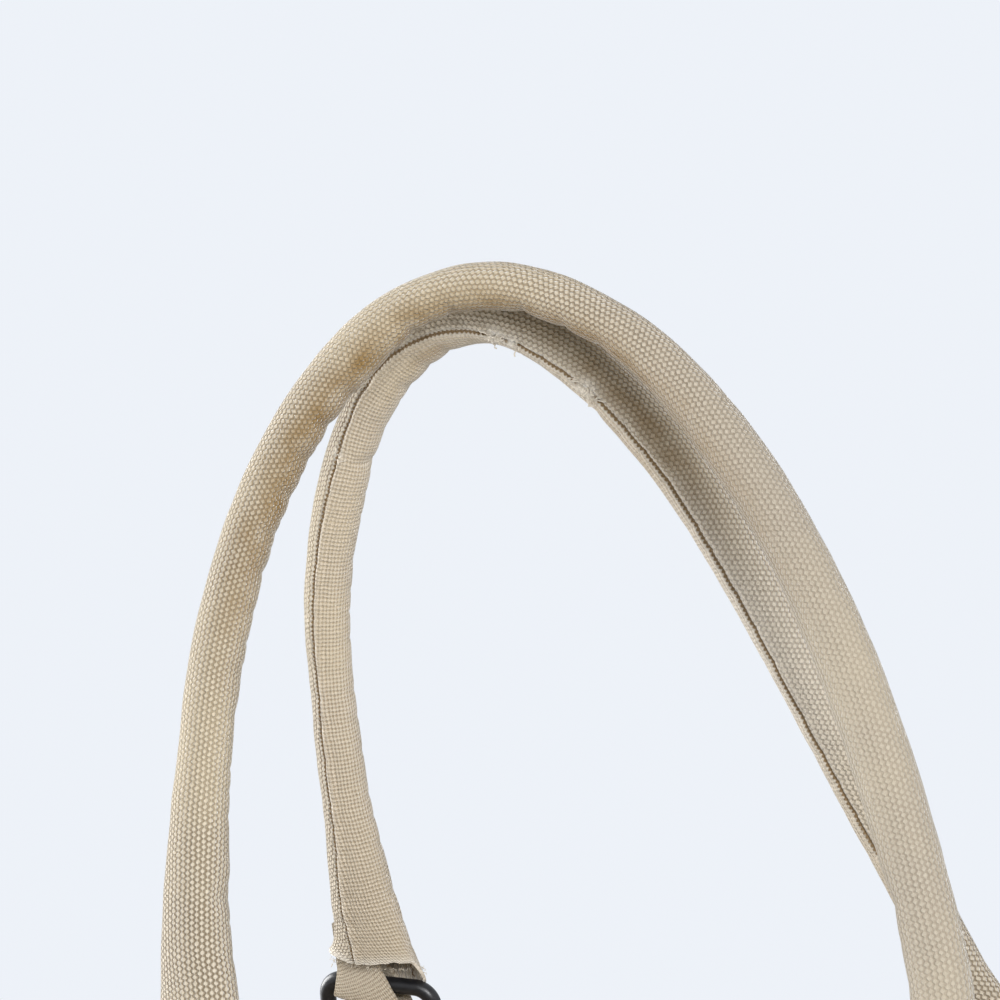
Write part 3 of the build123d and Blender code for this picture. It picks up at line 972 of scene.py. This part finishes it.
def ring_place(side, face, x, out, up):
    """Places from a ring's upper bar: along X, seamward and upward."""
    bar = np.array(bar_point(side, 0.0))
    rising = np.array(rise(face))
    seamward = np.array([0.0, -face * math.cos(LEAN), -math.sin(LEAN)])
    along_x = np.outer(x, [1.0, 0.0, 0.0])
    return bar + along_x + np.outer(out, seamward) + np.outer(up, rising)


path, path_s = smooth_line([(out, 0.0, up) for out, up in TAB_SIDE], 0.0008)
reach = path_s / path_s[-1]
widths = np.interp(reach, *zip(*TAB_WIDTH))
steps = len(path_s) - 1
for side, face in SIDES:
    for end, way in ENDS:
        x = way * RING_X
        high, low = TAB_OFFSET[f"{side}_{end}"]
        shifts = np.interp(reach, [0.0, 0.22, 0.5, 0.78, 1.0], [high, high, low, high, high])
        leg = lines[side][0][:40] if end == "left" else lines[side][0][:-41:-1]
        leg_up = (leg - bar_point(side, x)) @ rise(face)
        drawn = np.interp(path[:, 2], leg_up, leg[:, 0] - x)  # the strap follows the leg
        cos, sin = math.cos(CUT_SLANT[end]), math.sin(CUT_SLANT[end])

        def strap(a, b):
            row = row_of(b, steps)
            across = (a - 0.5) * widths[row] + shifts[row]
            curl = 0.0007 * np.abs(2 * a - 1) ** 3
            tilt = 0.0016 * (2 * a - 1) * bell(reach[row] - 0.5, 0.13)
            out, up = path[row, 0], path[row, 2]
            length = np.hypot(out, up) + 1e-6
            spread = 1.0 - curl / length * (np.abs(out) > 0.002)
            place_x = x + across + drawn[row]
            places = ring_place(side, face, place_x, out * spread, up + curl - tilt)
            u, v = (a - 0.5) * 0.026, path_s[row]
            return places, points_of(u * cos - v * sin, u * sin + v * cos)

        inner = ring_place(side, face, np.array([x]), [0.0], [0.004])[0]
        name = f"{side}_{end}_tab"
        tab = cloth_grid(name, TAB_COLUMNS, steps, strap, inner, TAB_T, (webbing,))
        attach(tab, f"{side}_handle")
        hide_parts(f"{side}_{end}_handle_tab")
print("tab strap length", round(path_s[-1], 4))

# %% [markdown]
# ## Stitches and loose fibres
# Topstitching is a row of short raised dashes. Each dash is one small stretched ball, and
# a whole row is joined in one piece. Where the canvas has rubbed through, fine fibres
# stand up; each is a short thin curve.

# %% Helpers for thread
THREAD_R = 0.00036


def stitch_row(points, normals, pitch=0.0034, length=0.0026):
    """Dashes along a line of surface points, each as (start, end, normal)."""
    points, normals = np.array(points, float), np.array(normals, float)
    lengths = run_lengths(points)

    def at(s, values):
        return np.array([np.interp(s, lengths, values[:, k]) for k in range(3)])

    half, middles = length / 2, np.arange(pitch, lengths[-1] - pitch / 2, pitch)
    return [(at(s - half, points), at(s + half, points), at(s, normals)) for s in middles]


def stitch_piece(name, dashes):
    bm = bmesh.new()
    for low, high, normal in dashes:
        along = Vector(high - low)
        x_axis = along.normalized()
        z_axis = Vector(normal).normalized()
        y_axis = z_axis.cross(x_axis).normalized()
        turn = Matrix((x_axis, y_axis, z_axis)).transposed().to_4x4()
        size = Matrix.Diagonal((along.length / 2, THREAD_R, THREAD_R, 1.0))
        at = Matrix.Translation(Vector((low + high) / 2) + z_axis * THREAD_R * 0.45)
        ball = at @ turn @ size
        bmesh.ops.create_uvsphere(bm, u_segments=6, v_segments=4, radius=1.0, matrix=ball)
    bmesh.ops.recalc_face_normals(bm, faces=bm.faces)
    print(name, len(dashes), "stitches")
    return add_piece(name, mesh_of(name, bm), (thread,))


def fibre_piece(name, roots, length, thickness, spread, seed):
    """Short thin curved fibres that stand on the given (point, direction) roots."""
    random = np.random.default_rng(seed)
    curve = new_curve(name, 4)
    curve.bevel_depth = thickness / 2
    curve.bevel_resolution = 0
    for point, way in roots:
        place, heading, fibre = np.array(point, float), np.array(way, float), []
        for _ in range(4):
            fibre.append(place)
            heading = unit(heading + random.normal(0.0, spread, 3))
            place = place + heading * length / 3 * random.uniform(0.6, 1.3)
        add_spline(curve, fibre)
    mesh = curve_mesh(name, curve)
    mesh.name = name
    return add_piece(name, mesh, (thread,))


print("thread helpers ready")

# %% [markdown]
# Fine fibres stand all round the cut hems, and tufts stand at the places on the rear
# handle's seam where the canvas has worn through.

# %% Fibres on the handles
HEM_FIBRES = 90  # at each end of a handle
TUFTS = [  # share of the rear handle's length, and how many
    (0.486, 14), (0.492, 12), (0.501, 8), (0.546, 12), (0.553, 18), (0.560, 14), (0.345, 9),
]
random = np.random.default_rng(4)
for side, face in SIDES:
    points, _, inward, seamward, seam, radius = lines[side]
    keys, up = HANDLES[side][1], np.array(rise(face))
    hem_roots, tuft_roots = [], []
    for first, end in ((0, "left"), (len(points) - 1, "right")):
        w = radius[first] + (keys["lip"][end] + CUFF_W) / 2 * keys["flare"][end] - 0.0005
        d = radius[first] - 0.0020
        for _ in range(HEM_FIBRES):
            angle = random.uniform(0, 2 * np.pi)
            cos, sin = math.cos(angle), math.sin(angle)
            spot = points[first] + inward[first] * w * cos + seamward[first] * d * sin
            lift = 0.0026 if sin > 0.2 else -0.0008
            hem_roots.append((spot + up * lift, -up + seamward[first] * 0.3))
    for share, count in TUFTS if side == "rear" else ():
        i = int(round(share * (len(points) - 1)))
        for _ in range(count):
            j = i + int(random.integers(-1, 2))
            turn = seam[j] + random.normal(0.0, 0.16)
            out = inward[j] * math.cos(turn) + seamward[j] * math.sin(turn)
            tuft_roots.append((points[j] + out * radius[j] * 0.98, out))
    fuzz = fibre_piece(f"{side}_hem_fibres", hem_roots, 0.0016, 0.00014, 0.9, 11)
    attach(fuzz, f"{side}_handle")
    if tuft_roots:
        tufts = fibre_piece(f"{side}_seam_tufts", tuft_roots, 0.0034, 0.00042, 1.4, 12)
        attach(tufts, f"{side}_handle")
print("fibres made")

# %% [markdown]
# ## The case
# One band of canvas makes the base, the front and the rear, and a gusset closes each
# end. Only the base is stiff, so the tall panels belly out, sink in towards the zip and
# crease below the straps. Each panel is laid from a flat grid along the band's side
# view, then moved outwards by a bulge and a few creases.

# %% Side view of the band
BODY_D, BODY_H = 0.125, 0.224
BOTTOM_R, TOP_R = 0.016, 0.010
HALF_X = 0.156
CANVAS_T = 0.0012
CURVE_LOW = BOTTOM_R * math.pi / 2
WALL = BODY_H - BOTTOM_R - TOP_R
BAND_L = CURVE_LOW + WALL + TOP_R * math.pi / 2
BELLY = 0.0050
CREASE_SHARE = 0.62  # of the heights below
CREASES = [  # from (x, z) to (x, z), half width, height
    (-0.1, 0.152, -0.052, 0.07, 0.0075, -0.0034),
    (-0.118, 0.152, -0.138, 0.08, 0.0065, 0.0026),
    (0.1, 0.15, 0.044, 0.086, 0.008, -0.0032), (0.12, 0.15, 0.14, 0.066, 0.0065, 0.0028),
    (-0.045, 0.204, 0.036, 0.193, 0.0085, -0.0032),
    (-0.152, 0.026, -0.098, 0.058, 0.007, 0.0028),
    (0.152, 0.024, 0.094, 0.05, 0.007, 0.0028), (-0.024, 0.124, 0.05, 0.056, 0.011, 0.0024),
    (-0.085, 0.206, -0.026, 0.176, 0.007, -0.0026),
    (0.085, 0.205, 0.036, 0.172, 0.007, -0.0026),
    (-0.128, 0.11, -0.06, 0.03, 0.009, -0.0022),
    (0.06, 0.028, 0.128, 0.012, 0.006, 0.0016),
]


def band(s):
    """Depth from the middle, height and outward normal at a length along the band."""
    low = np.clip(s / BOTTOM_R, 0, math.pi / 2)
    wall = np.clip(s - CURVE_LOW, 0, WALL)
    high = np.clip((s - CURVE_LOW - WALL) / TOP_R, 0, math.pi / 2)
    y = BODY_D / 2 - BOTTOM_R + BOTTOM_R * np.sin(low) - TOP_R * (1 - np.cos(high))
    z = BOTTOM_R * (1 - np.cos(low)) + wall + TOP_R * np.sin(high)
    out = np.where(s < CURVE_LOW, np.sin(low), np.cos(high))
    up = np.where(s < CURVE_LOW, -np.cos(low), np.sin(high))
    return y, z, out, up


def fullness(x, z, face):
    """How far a tall panel stands out of its flat place."""
    held = (1 - ease(np.abs(x), 0.128, HALF_X)) * ease(z, 0.000, 0.035)
    held = held * (1 - ease(z, 0.190, 0.222))
    out = BELLY * np.sin(np.pi * np.clip(z / 0.235, 0, 1) ** 0.86) ** 0.9
    for x0, z0, x1, z1, half, height in CREASES:
        line = np.array([x1 - x0, z1 - z0])
        t = np.clip(((x * face - x0) * line[0] + (z - z0) * line[1]) / (line @ line), 0, 1)
        off = np.hypot(x * face - x0 - t * line[0], z - z0 - t * line[1])
        fading = 0.4 + 0.6 * np.sin(np.pi * np.clip(t, 0.1, 0.9))
        out = out + CREASE_SHARE * height * bell(off, half) * fading
    soft = wobble(points_of(x, z * 1.3, np.full_like(x, face * 0.2)), 0.055, 21)
    fine = wobble(points_of(x * 1.4, z, np.full_like(x, face * 0.3)), 0.020, 22)
    return held * (out + 0.0020 * soft + 0.0004 * fine)


def panel_point(x, s, face, lift=0.0):
    """A point on the outside of the front (-1) or rear (1) panel."""
    y, z, out, up = band(s)
    stand_off = fullness(x, z, face) + lift
    return points_of(x, face * (y + out * stand_off), z + up * stand_off)


print("creases", len(CREASES))

# %% [markdown]
# The band's three parts are laid as separate sheets that meet at the base's edges.

# %% Front, rear and base
for side, face in SIDES:

    def lay_panel(a, b):
        x, s = (a - 0.5) * 2 * HALF_X, b * BAND_L
        return panel_point(x, s, face), points_of(x, s)

    panel = cloth_grid(f"{side}_side", 130, 100, lay_panel, CENTRE, CANVAS_T, (hopsack,))
    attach(panel, "root")
    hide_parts(f"{side}_panel")


def lay_base(a, b):
    x, y = (a - 0.5) * 2 * HALF_X, (b - 0.5) * (BODY_D - 2 * BOTTOM_R)
    return points_of(x, y, np.zeros_like(x)), points_of(x, y)


base = cloth_grid("base", 60, 20, lay_base, CENTRE, CANVAS_T, (hopsack,))
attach(base, "root")
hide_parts("base_panel")
print("band length", round(2 * BAND_L + BODY_D - 2 * BOTTOM_R, 4))

# %% [markdown]
# ## Gussets and piping
# Each end is closed by a gusset with two vent eyelets. A thin covered cord, the piping,
# hides the seam between it and the band. The gusset's grid is squeezed row by row to
# the outline of the end, and its faces under the eyelets are taken out.

# %% Gussets
EYELET_Y, EYELET_Z = 0.022, 0.176
GUSSET_X, GUSSET_T, GUSSET_HOLE_R = 0.1588, 0.0010, 0.0050
GUSSET_INSET = 0.0040
GUSSET_H = BODY_H - 2 * GUSSET_INSET
GUSSET_SINK, GUSSET_FOLD = 0.0060, 0.0028


def half_depth(z, inset):
    """Half depth of the case at a height, drawn in by an inset."""
    low, high = BOTTOM_R - inset, TOP_R - inset
    down = np.clip((BOTTOM_R - z) / low, 0, 1)
    over = np.clip((z - BODY_H + TOP_R) / high, 0, 1)
    y = BODY_D / 2 - inset
    return y - low * (1 - np.sqrt(1 - down**2)) - high * (1 - np.sqrt(1 - over**2))


def eyelet_holes(x, radius):
    return [(Vector((x, y, EYELET_Z)), radius) for y in (-EYELET_Y, EYELET_Y)]


def swing(t):
    """From 0 to 1, with closer steps at both ends."""
    return 0.5 - 0.5 * np.cos(np.pi * t)


def make_gusset(end, way):
    def lay_gusset(a, b):
        z = GUSSET_INSET + swing(b) * GUSSET_H
        y = (2 * a - 1) * half_depth(z, GUSSET_INSET)
        from_side = np.minimum(1 - np.abs(2 * a - 1), 1) * 0.058
        edge = np.minimum(from_side, np.minimum(swing(b), 1 - swing(b)) * GUSSET_H)
        quiet = 1 - bell(np.hypot(np.abs(y) - EYELET_Y, z - EYELET_Z), 0.016)
        sink = GUSSET_SINK * ease(edge, 0.0, 0.030)
        sink = sink * np.sin(np.pi * np.clip(z / 0.23, 0, 1)) * quiet
        fold = GUSSET_FOLD * bell(y - 0.004 * np.sin(z / 0.03), 0.006) * ease(z, 0.02, 0.06)
        x = way * (GUSSET_X - sink + fold * (1 - ease(z, 0.12, 0.16)))
        return points_of(x, y, z), points_of(y, z)

    holes = eyelet_holes(way * GUSSET_X, GUSSET_HOLE_R)
    gusset = cloth_grid(f"{end}_end", 66, 108, lay_gusset, CENTRE, GUSSET_T, (hopsack,), holes)
    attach(gusset, "root")
    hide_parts(f"{end}_gusset")
    print(end, "gusset faces", len(gusset.data.polygons))


# %% [markdown]
# The piping is a thin tube round the outline of the end, with a slight unevenness.

# %% Piping
PIPING_X, PIPING_R = 0.158, 0.00205
PIPING_LOW, PIPING_RISE = 0.002, 0.220


def end_outline(x):
    """Closed line round the end of the case, for the piping."""
    rising = PIPING_LOW + PIPING_RISE * swing(np.linspace(0, 1, 90))
    depths = half_depth(rising, PIPING_LOW)
    floor_y = np.linspace(-depths[0], depths[0], 26)[1:-1]
    top_y = np.linspace(depths[-1], -depths[-1], 30)[1:-1]
    low, high = np.full(24, PIPING_LOW), np.full(28, PIPING_LOW + PIPING_RISE)
    y = np.concatenate([floor_y, depths, top_y, -depths[::-1], floor_y[:1]])
    z = np.concatenate([low, rising, high, rising[::-1], low[:1]])
    return points_of(np.full_like(y, x), y, z)


def make_piping(end, way):
    loop = end_outline(PIPING_X * way)
    run = run_lengths(loop)
    ahead = unit(np.roll(loop[:-1], -1, axis=0) - np.roll(loop[:-1], 1, axis=0))
    ahead = np.concatenate([ahead, ahead[:1]])
    side_way = np.cross(ahead, [1.0, 0.0, 0.0])
    count = len(loop) - 1

    def lay_piping(a, b):
        row = row_of(b, count)
        angle = 2 * np.pi * a
        radius = PIPING_R + 0.00012 * np.sin(run[row] / 0.0045)
        ring = side_way[row] * np.cos(angle)[:, None] + np.outer(np.sin(angle), [1.0, 0.0, 0.0])
        return loop[row] + ring * radius[:, None], points_of(angle * 0.002, run[row])

    middles = np.repeat(loop, 15, axis=0)
    piping = cloth_grid(f"{end}_cord", 14, count, lay_piping, middles, 0.0, (hopsack,))
    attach(piping, "root")
    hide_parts(f"{end}_piping")
    print(end, "piping length", round(run[-1], 4))


for end, way in ENDS:
    make_gusset(end, way)
    make_piping(end, way)

# %% [markdown]
# ## Lining
# A thin tub of plain-weave cloth hangs loose inside. It is one tube closed at the floor:
# the grid's first rows widen from a line along the middle of the floor to the full
# outline, and the others climb the walls.

# %% Lining
LINING_X, LINING_Y = 0.1515, 0.0592
LINING_LOW, LINING_HIGH = 0.0046, 0.2035
LINING_T, LINING_GAP = 0.0006, 0.0012
FLOOR_SHARE = 0.25  # of the rows
CORNER_POWER = 0.22  # squares the outline


def lay_lining(a, b):
    grow = np.clip(b / FLOOR_SHARE, 0, 1)
    climb = np.clip((b - FLOOR_SHARE) / (1 - FLOOR_SHARE), 0, 1)
    cos, sin = np.cos(2 * np.pi * a), np.sin(2 * np.pi * a)
    x = LINING_X * np.sign(cos) * np.abs(cos) ** CORNER_POWER
    y = LINING_Y * grow * np.sign(sin) * np.abs(sin) ** CORNER_POWER
    z = LINING_LOW + climb * (LINING_HIGH - LINING_LOW)
    spot = points_of(x, y, z)
    slack = wobble(spot, 0.035, 31) * 0.0016 * ease(climb, 0.05, 0.4)
    spot[:, 0] *= 1 - (LINING_GAP + np.abs(slack) * 0.5) / LINING_X
    spot[:, 1] *= 1 - (LINING_GAP * grow + np.abs(slack)) / LINING_Y
    return spot, points_of(a * 0.84, b * 0.26)


vents = eyelet_holes(-0.150, 0.0062) + eyelet_holes(0.150, 0.0062)
tub = cloth_grid("tub", 220, 84, lay_lining, CENTRE, LINING_T, (tub_cloth,), vents)
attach(tub, "root")
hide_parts("lining")
print("lining faces", len(tub.data.polygons))

# %% [markdown]
# ## Zipped mouth
# The top canvas has two halves with the zip between them. The mouth opens in the middle
# while both ends stay sewn down, so each half is made as two quarters, one from each end
# to the middle. Tape and coil are made in quarters in the same way.

# %% Top canvas
TOP_Z = BODY_H
HINGE_Y = BODY_D / 2 - TOP_R
SLOT_Y = 0.0080
SLOT_END = 0.146
QUARTERS = [(side, face, end, way) for side, face in SIDES for end, way in ENDS]


def follow_mouth(piece):
    """Bake the piece's place into its mesh."""
    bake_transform(piece)


def top_height(x, y):
    """Height of the top canvas over a point: it sags between hinge and zip."""
    from_hinge = (HINGE_Y - y) / (HINGE_Y - SLOT_Y)
    sag = -0.0016 * np.sin(np.pi * np.clip(from_hinge, 0, 1)) * (1 - ease(x, 0.135, 0.154))
    soft = wobble(points_of(x, y, np.full_like(x, 0.4)), 0.030, 41)
    loose = ease(from_hinge, 0.0, 0.35) * (1 - ease(from_hinge, 0.75, 1.0))
    loose = loose * (1 - ease(x, 0.140, 0.154))
    lip = -0.0005 * np.exp(-(y - SLOT_Y) / 0.0006) * (x < SLOT_END)
    return TOP_Z + sag + 0.0009 * soft * loose + lip


for side, face, end, way in QUARTERS:

    def lay_top(a, b):
        x = a * HALF_X
        inner = SLOT_Y * (1 - ease(x, 0.1450, 0.1485))
        y = HINGE_Y + (inner - HINGE_Y) * b
        z = top_height(x, np.maximum(y, SLOT_Y))
        return points_of(way * x, face * y, z), points_of(x, y)

    top = cloth_grid(f"{side}_{end}_top", 90, 34, lay_top, CENTRE, CANVAS_T, (hopsack,))
    follow_mouth(top)
    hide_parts(f"{side}_top_flap", f"{end}_top_end")
print("top quarters", len(QUARTERS))

# %% [markdown]
# The zip's tape is a fine twill, sewn under the canvas edge, and the coil stands on it.
# The two coils mesh to the left of the slider. A few teeth near the left end stand apart
# for the slider's post, which comes to rest between them when the zip is open.

# %% Zip tape and coil
TAPE_OUT, TAPE_IN, TAPE_Z = 0.0180, 0.0030, 0.2224
TAPE_L, TAPE_T = 0.150, 0.0008
PITCH = 0.0020
COIL_END = 0.1410
COIL_Z = 0.2220
TOOTH_W, TOOTH_H, TOOTH_FAR = 0.00115, 0.0023, 0.0036
PARTED = {"left": (0.1209, 0.1276), "right": (0.1180, COIL_END)}


def coil_mesh(name, face, end, way):
    """A row of rounded teeth; the two sides are half a pitch apart."""
    bm = bmesh.new()
    for n in range(int(COIL_END / PITCH)):
        x = (n + (0.25 if face * way > 0 else 0.75)) * PITCH
        near_y = 0.0009 if PARTED[end][0] < x < PARTED[end][1] else -0.0001
        size = Matrix.Diagonal((TOOTH_W, TOOTH_FAR - near_y, TOOTH_H, 1.0))
        at = Matrix.Translation((way * x, face * (TOOTH_FAR + near_y) / 2, COIL_Z))
        made = bmesh.ops.create_cube(bm, size=1.0, matrix=at @ size)
        edges = {e for v in made["verts"] for e in v.link_edges}
        bmesh.ops.bevel(bm, geom=list(edges), offset=0.0003, segments=1, affect="EDGES")
    return mesh_of(name, bm)


for side, face, end, way in QUARTERS:

    def lay_tape(a, b):
        x, y = a * TAPE_L, TAPE_OUT + (TAPE_IN - TAPE_OUT) * b
        rolled = -0.0003 * np.exp(-(y - TAPE_IN) / 0.0005)
        return points_of(way * x, face * y, TAPE_Z + rolled), points_of(x, y)

    quarter = f"{side}_{end}"
    tape = cloth_grid(f"{quarter}_tape", 75, 15, lay_tape, CENTRE, TAPE_T, (tape_cloth,))
    follow_mouth(tape)
    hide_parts(f"{side}_zip_tape", f"{end}_zip_end")

    mesh = coil_mesh(f"{quarter}_coil", face, end, way)
    coil = add_piece(mesh.name, mesh, (black_nylon,))
    follow_mouth(coil)
    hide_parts(f"{side}_zip_teeth", f"{end}_zip_end")
print("coil teeth a quarter", int(COIL_END / PITCH))

# %% [markdown]
# A small canvas patch is sewn across each end of the zip.

# %% Zip end patches
PATCH_X, PATCH_L, PATCH_W, PATCH_T = 0.1462, 0.0090, 0.0300, 0.0009
for end, way in ENDS:

    def lay_patch(a, b):
        x, y = PATCH_X + a * PATCH_L, (b - 0.5) * PATCH_W
        edge = np.minimum(np.minimum(a, 1 - a) * PATCH_L, np.minimum(b, 1 - b) * PATCH_W)
        z = TOP_Z + 0.0001 + 0.0010 * ease(edge, 0.0, 0.0009)
        return points_of(way * x, y, z), points_of(x, y)

    patch = cloth_grid(f"{end}_patch", 18, 60, lay_patch, CENTRE, PATCH_T, (hopsack,))
    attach(patch, "root")
    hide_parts(f"{end}_zip_end")
print("patches", len(ENDS))

# %% [markdown]
# ## Body tabs
# Four straps carry the rings. Each is one length of canvas webbing, folded round the
# ring's lower bar, laid double on the panel and sewn down with a crossed box. It follows
# the panel's bulge below and stands free above the top edge.

# %% Body tabs
STRAP_W, STRAP_T = 0.027, 0.0013
STRAP_COLUMNS = 22
STRAP_FREE_Z = 0.212  # above this height the strap leaves the panel
STRAP_SIDE = [  # off the panel's plane, and height
    (0.0012, 0.1584), (0.002, 0.1577), (0.0028, 0.1581), (0.0031, 0.1595), (0.0031, 0.175),
    (0.0031, 0.195), (0.0031, 0.212), (0.0034, 0.22), (0.0048, 0.2252), (0.0062, 0.229),
    (0.0063, 0.232), (0.005, 0.2347), (0.0016, 0.2356), (-0.0018, 0.2347), (-0.0031, 0.232),
    (-0.003, 0.229), (-0.0016, 0.2252), (-0.0003, 0.22), (0.0001, 0.212), (0.0001, 0.195),
    (0.0001, 0.159),
]


def strap_place(x, out, z, face):
    """A place on a body tab: it stands off the panel's surface."""
    bulge = fullness(x, np.minimum(z, STRAP_FREE_Z), face) * (z < STRAP_FREE_Z + 0.0001)
    return points_of(x, face * (BODY_D / 2 + out + bulge), z)


side_line, side_run = smooth_line([(out, 0.0, z) for out, z in STRAP_SIDE], 0.0012)
steps = len(side_run) - 1
for side, face, end, way in QUARTERS:
    x_mid = way * RING_X

    def lay_strap(a, b):
        row = row_of(b, steps)
        x = x_mid + (a - 0.5) * STRAP_W
        out, z = side_line[row, 0], side_line[row, 2]
        curl = 0.0004 * np.abs(2 * a - 1) ** 4 * np.sign(0.0016 - out)
        uneven = wobble(points_of(x, out * 3, z), 0.018, 51) * 0.0002
        return strap_place(x, out + curl + uneven, z, face), points_of(x, side_run[row])

    inner = np.repeat(side_line, STRAP_COLUMNS + 1, axis=0)
    inner[:, 0], inner[:, 1] = x_mid, face * (BODY_D / 2 + 0.0016)
    name = f"{side}_{end}_strap"
    strap = cloth_grid(name, STRAP_COLUMNS, steps, lay_strap, inner, STRAP_T, (webbing,))
    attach(strap, "root")
    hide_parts(f"{side}_{end}_body_tab")
print("body strap length", round(side_run[-1], 4))

# %% [markdown]
# ## Topstitching
# Rows of stitches hold down the mouth's hems, the panel edges and the straps. The rows
# read the same surfaces as the cloth, so each stitch sits in its place.

# %% Topstitch rows
BOX_LOW, BOX_HIGH, BOX_TOP = 0.1615, 0.1850, 0.2100
BOX_HALF = 0.0105
BOX_PITCH, BOX_STITCH = 0.0030, 0.0023
MOUTH_ROWS = ((SLOT_Y + 0.0022, 0.145), (SLOT_Y + 0.0085, 0.145), (HINGE_Y - 0.0025, 0.150))


def box_rows(x):
    """The crossed box that holds a strap, and the two rows above it."""
    x0, x1 = x - BOX_HALF, x + BOX_HALF
    a, b, c, d = (x0, BOX_LOW), (x1, BOX_LOW), (x1, BOX_HIGH), (x0, BOX_HIGH)
    e, f = (x0, BOX_TOP), (x1, BOX_TOP)
    rows = ((a, b), (b, c), (c, d), (d, a), (a, c), (b, d), (d, e), (c, f))
    t = np.linspace(0.0, 1.0, 60)[:, None]
    return [np.array(p) * (1 - t) + np.array(q) * t for p, q in rows]


dashes = []
for side, face in SIDES:
    outward = [0.0, face, 0.0]
    for _, way in ENDS:
        heights = np.linspace(0.024, 0.206, 90) + CURVE_LOW - BOTTOM_R
        row = panel_point(np.full(90, way * 0.1515), heights, face, 0.0004)
        dashes += stitch_row(row, np.tile(outward, (90, 1)))
        for flat_row in box_rows(way * RING_X):
            row = strap_place(flat_row[:, 0], np.full(60, 0.0031), flat_row[:, 1], face)
            dashes += stitch_row(row, np.tile(outward, (60, 1)), BOX_PITCH, BOX_STITCH)
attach(stitch_piece("case_stitches", dashes), "root")

for side, face, end, way in QUARTERS:
    dashes = []
    for y, reach in MOUTH_ROWS:
        x = np.linspace(0.0, reach, 120)
        row = points_of(way * x, np.full(120, face * y), top_height(x, np.full(120, y)))
        dashes += stitch_row(row, np.tile([0.0, 0.0, 1.0], (120, 1)))
    follow_mouth(stitch_piece(f"{side}_{end}_top_stitches", dashes))
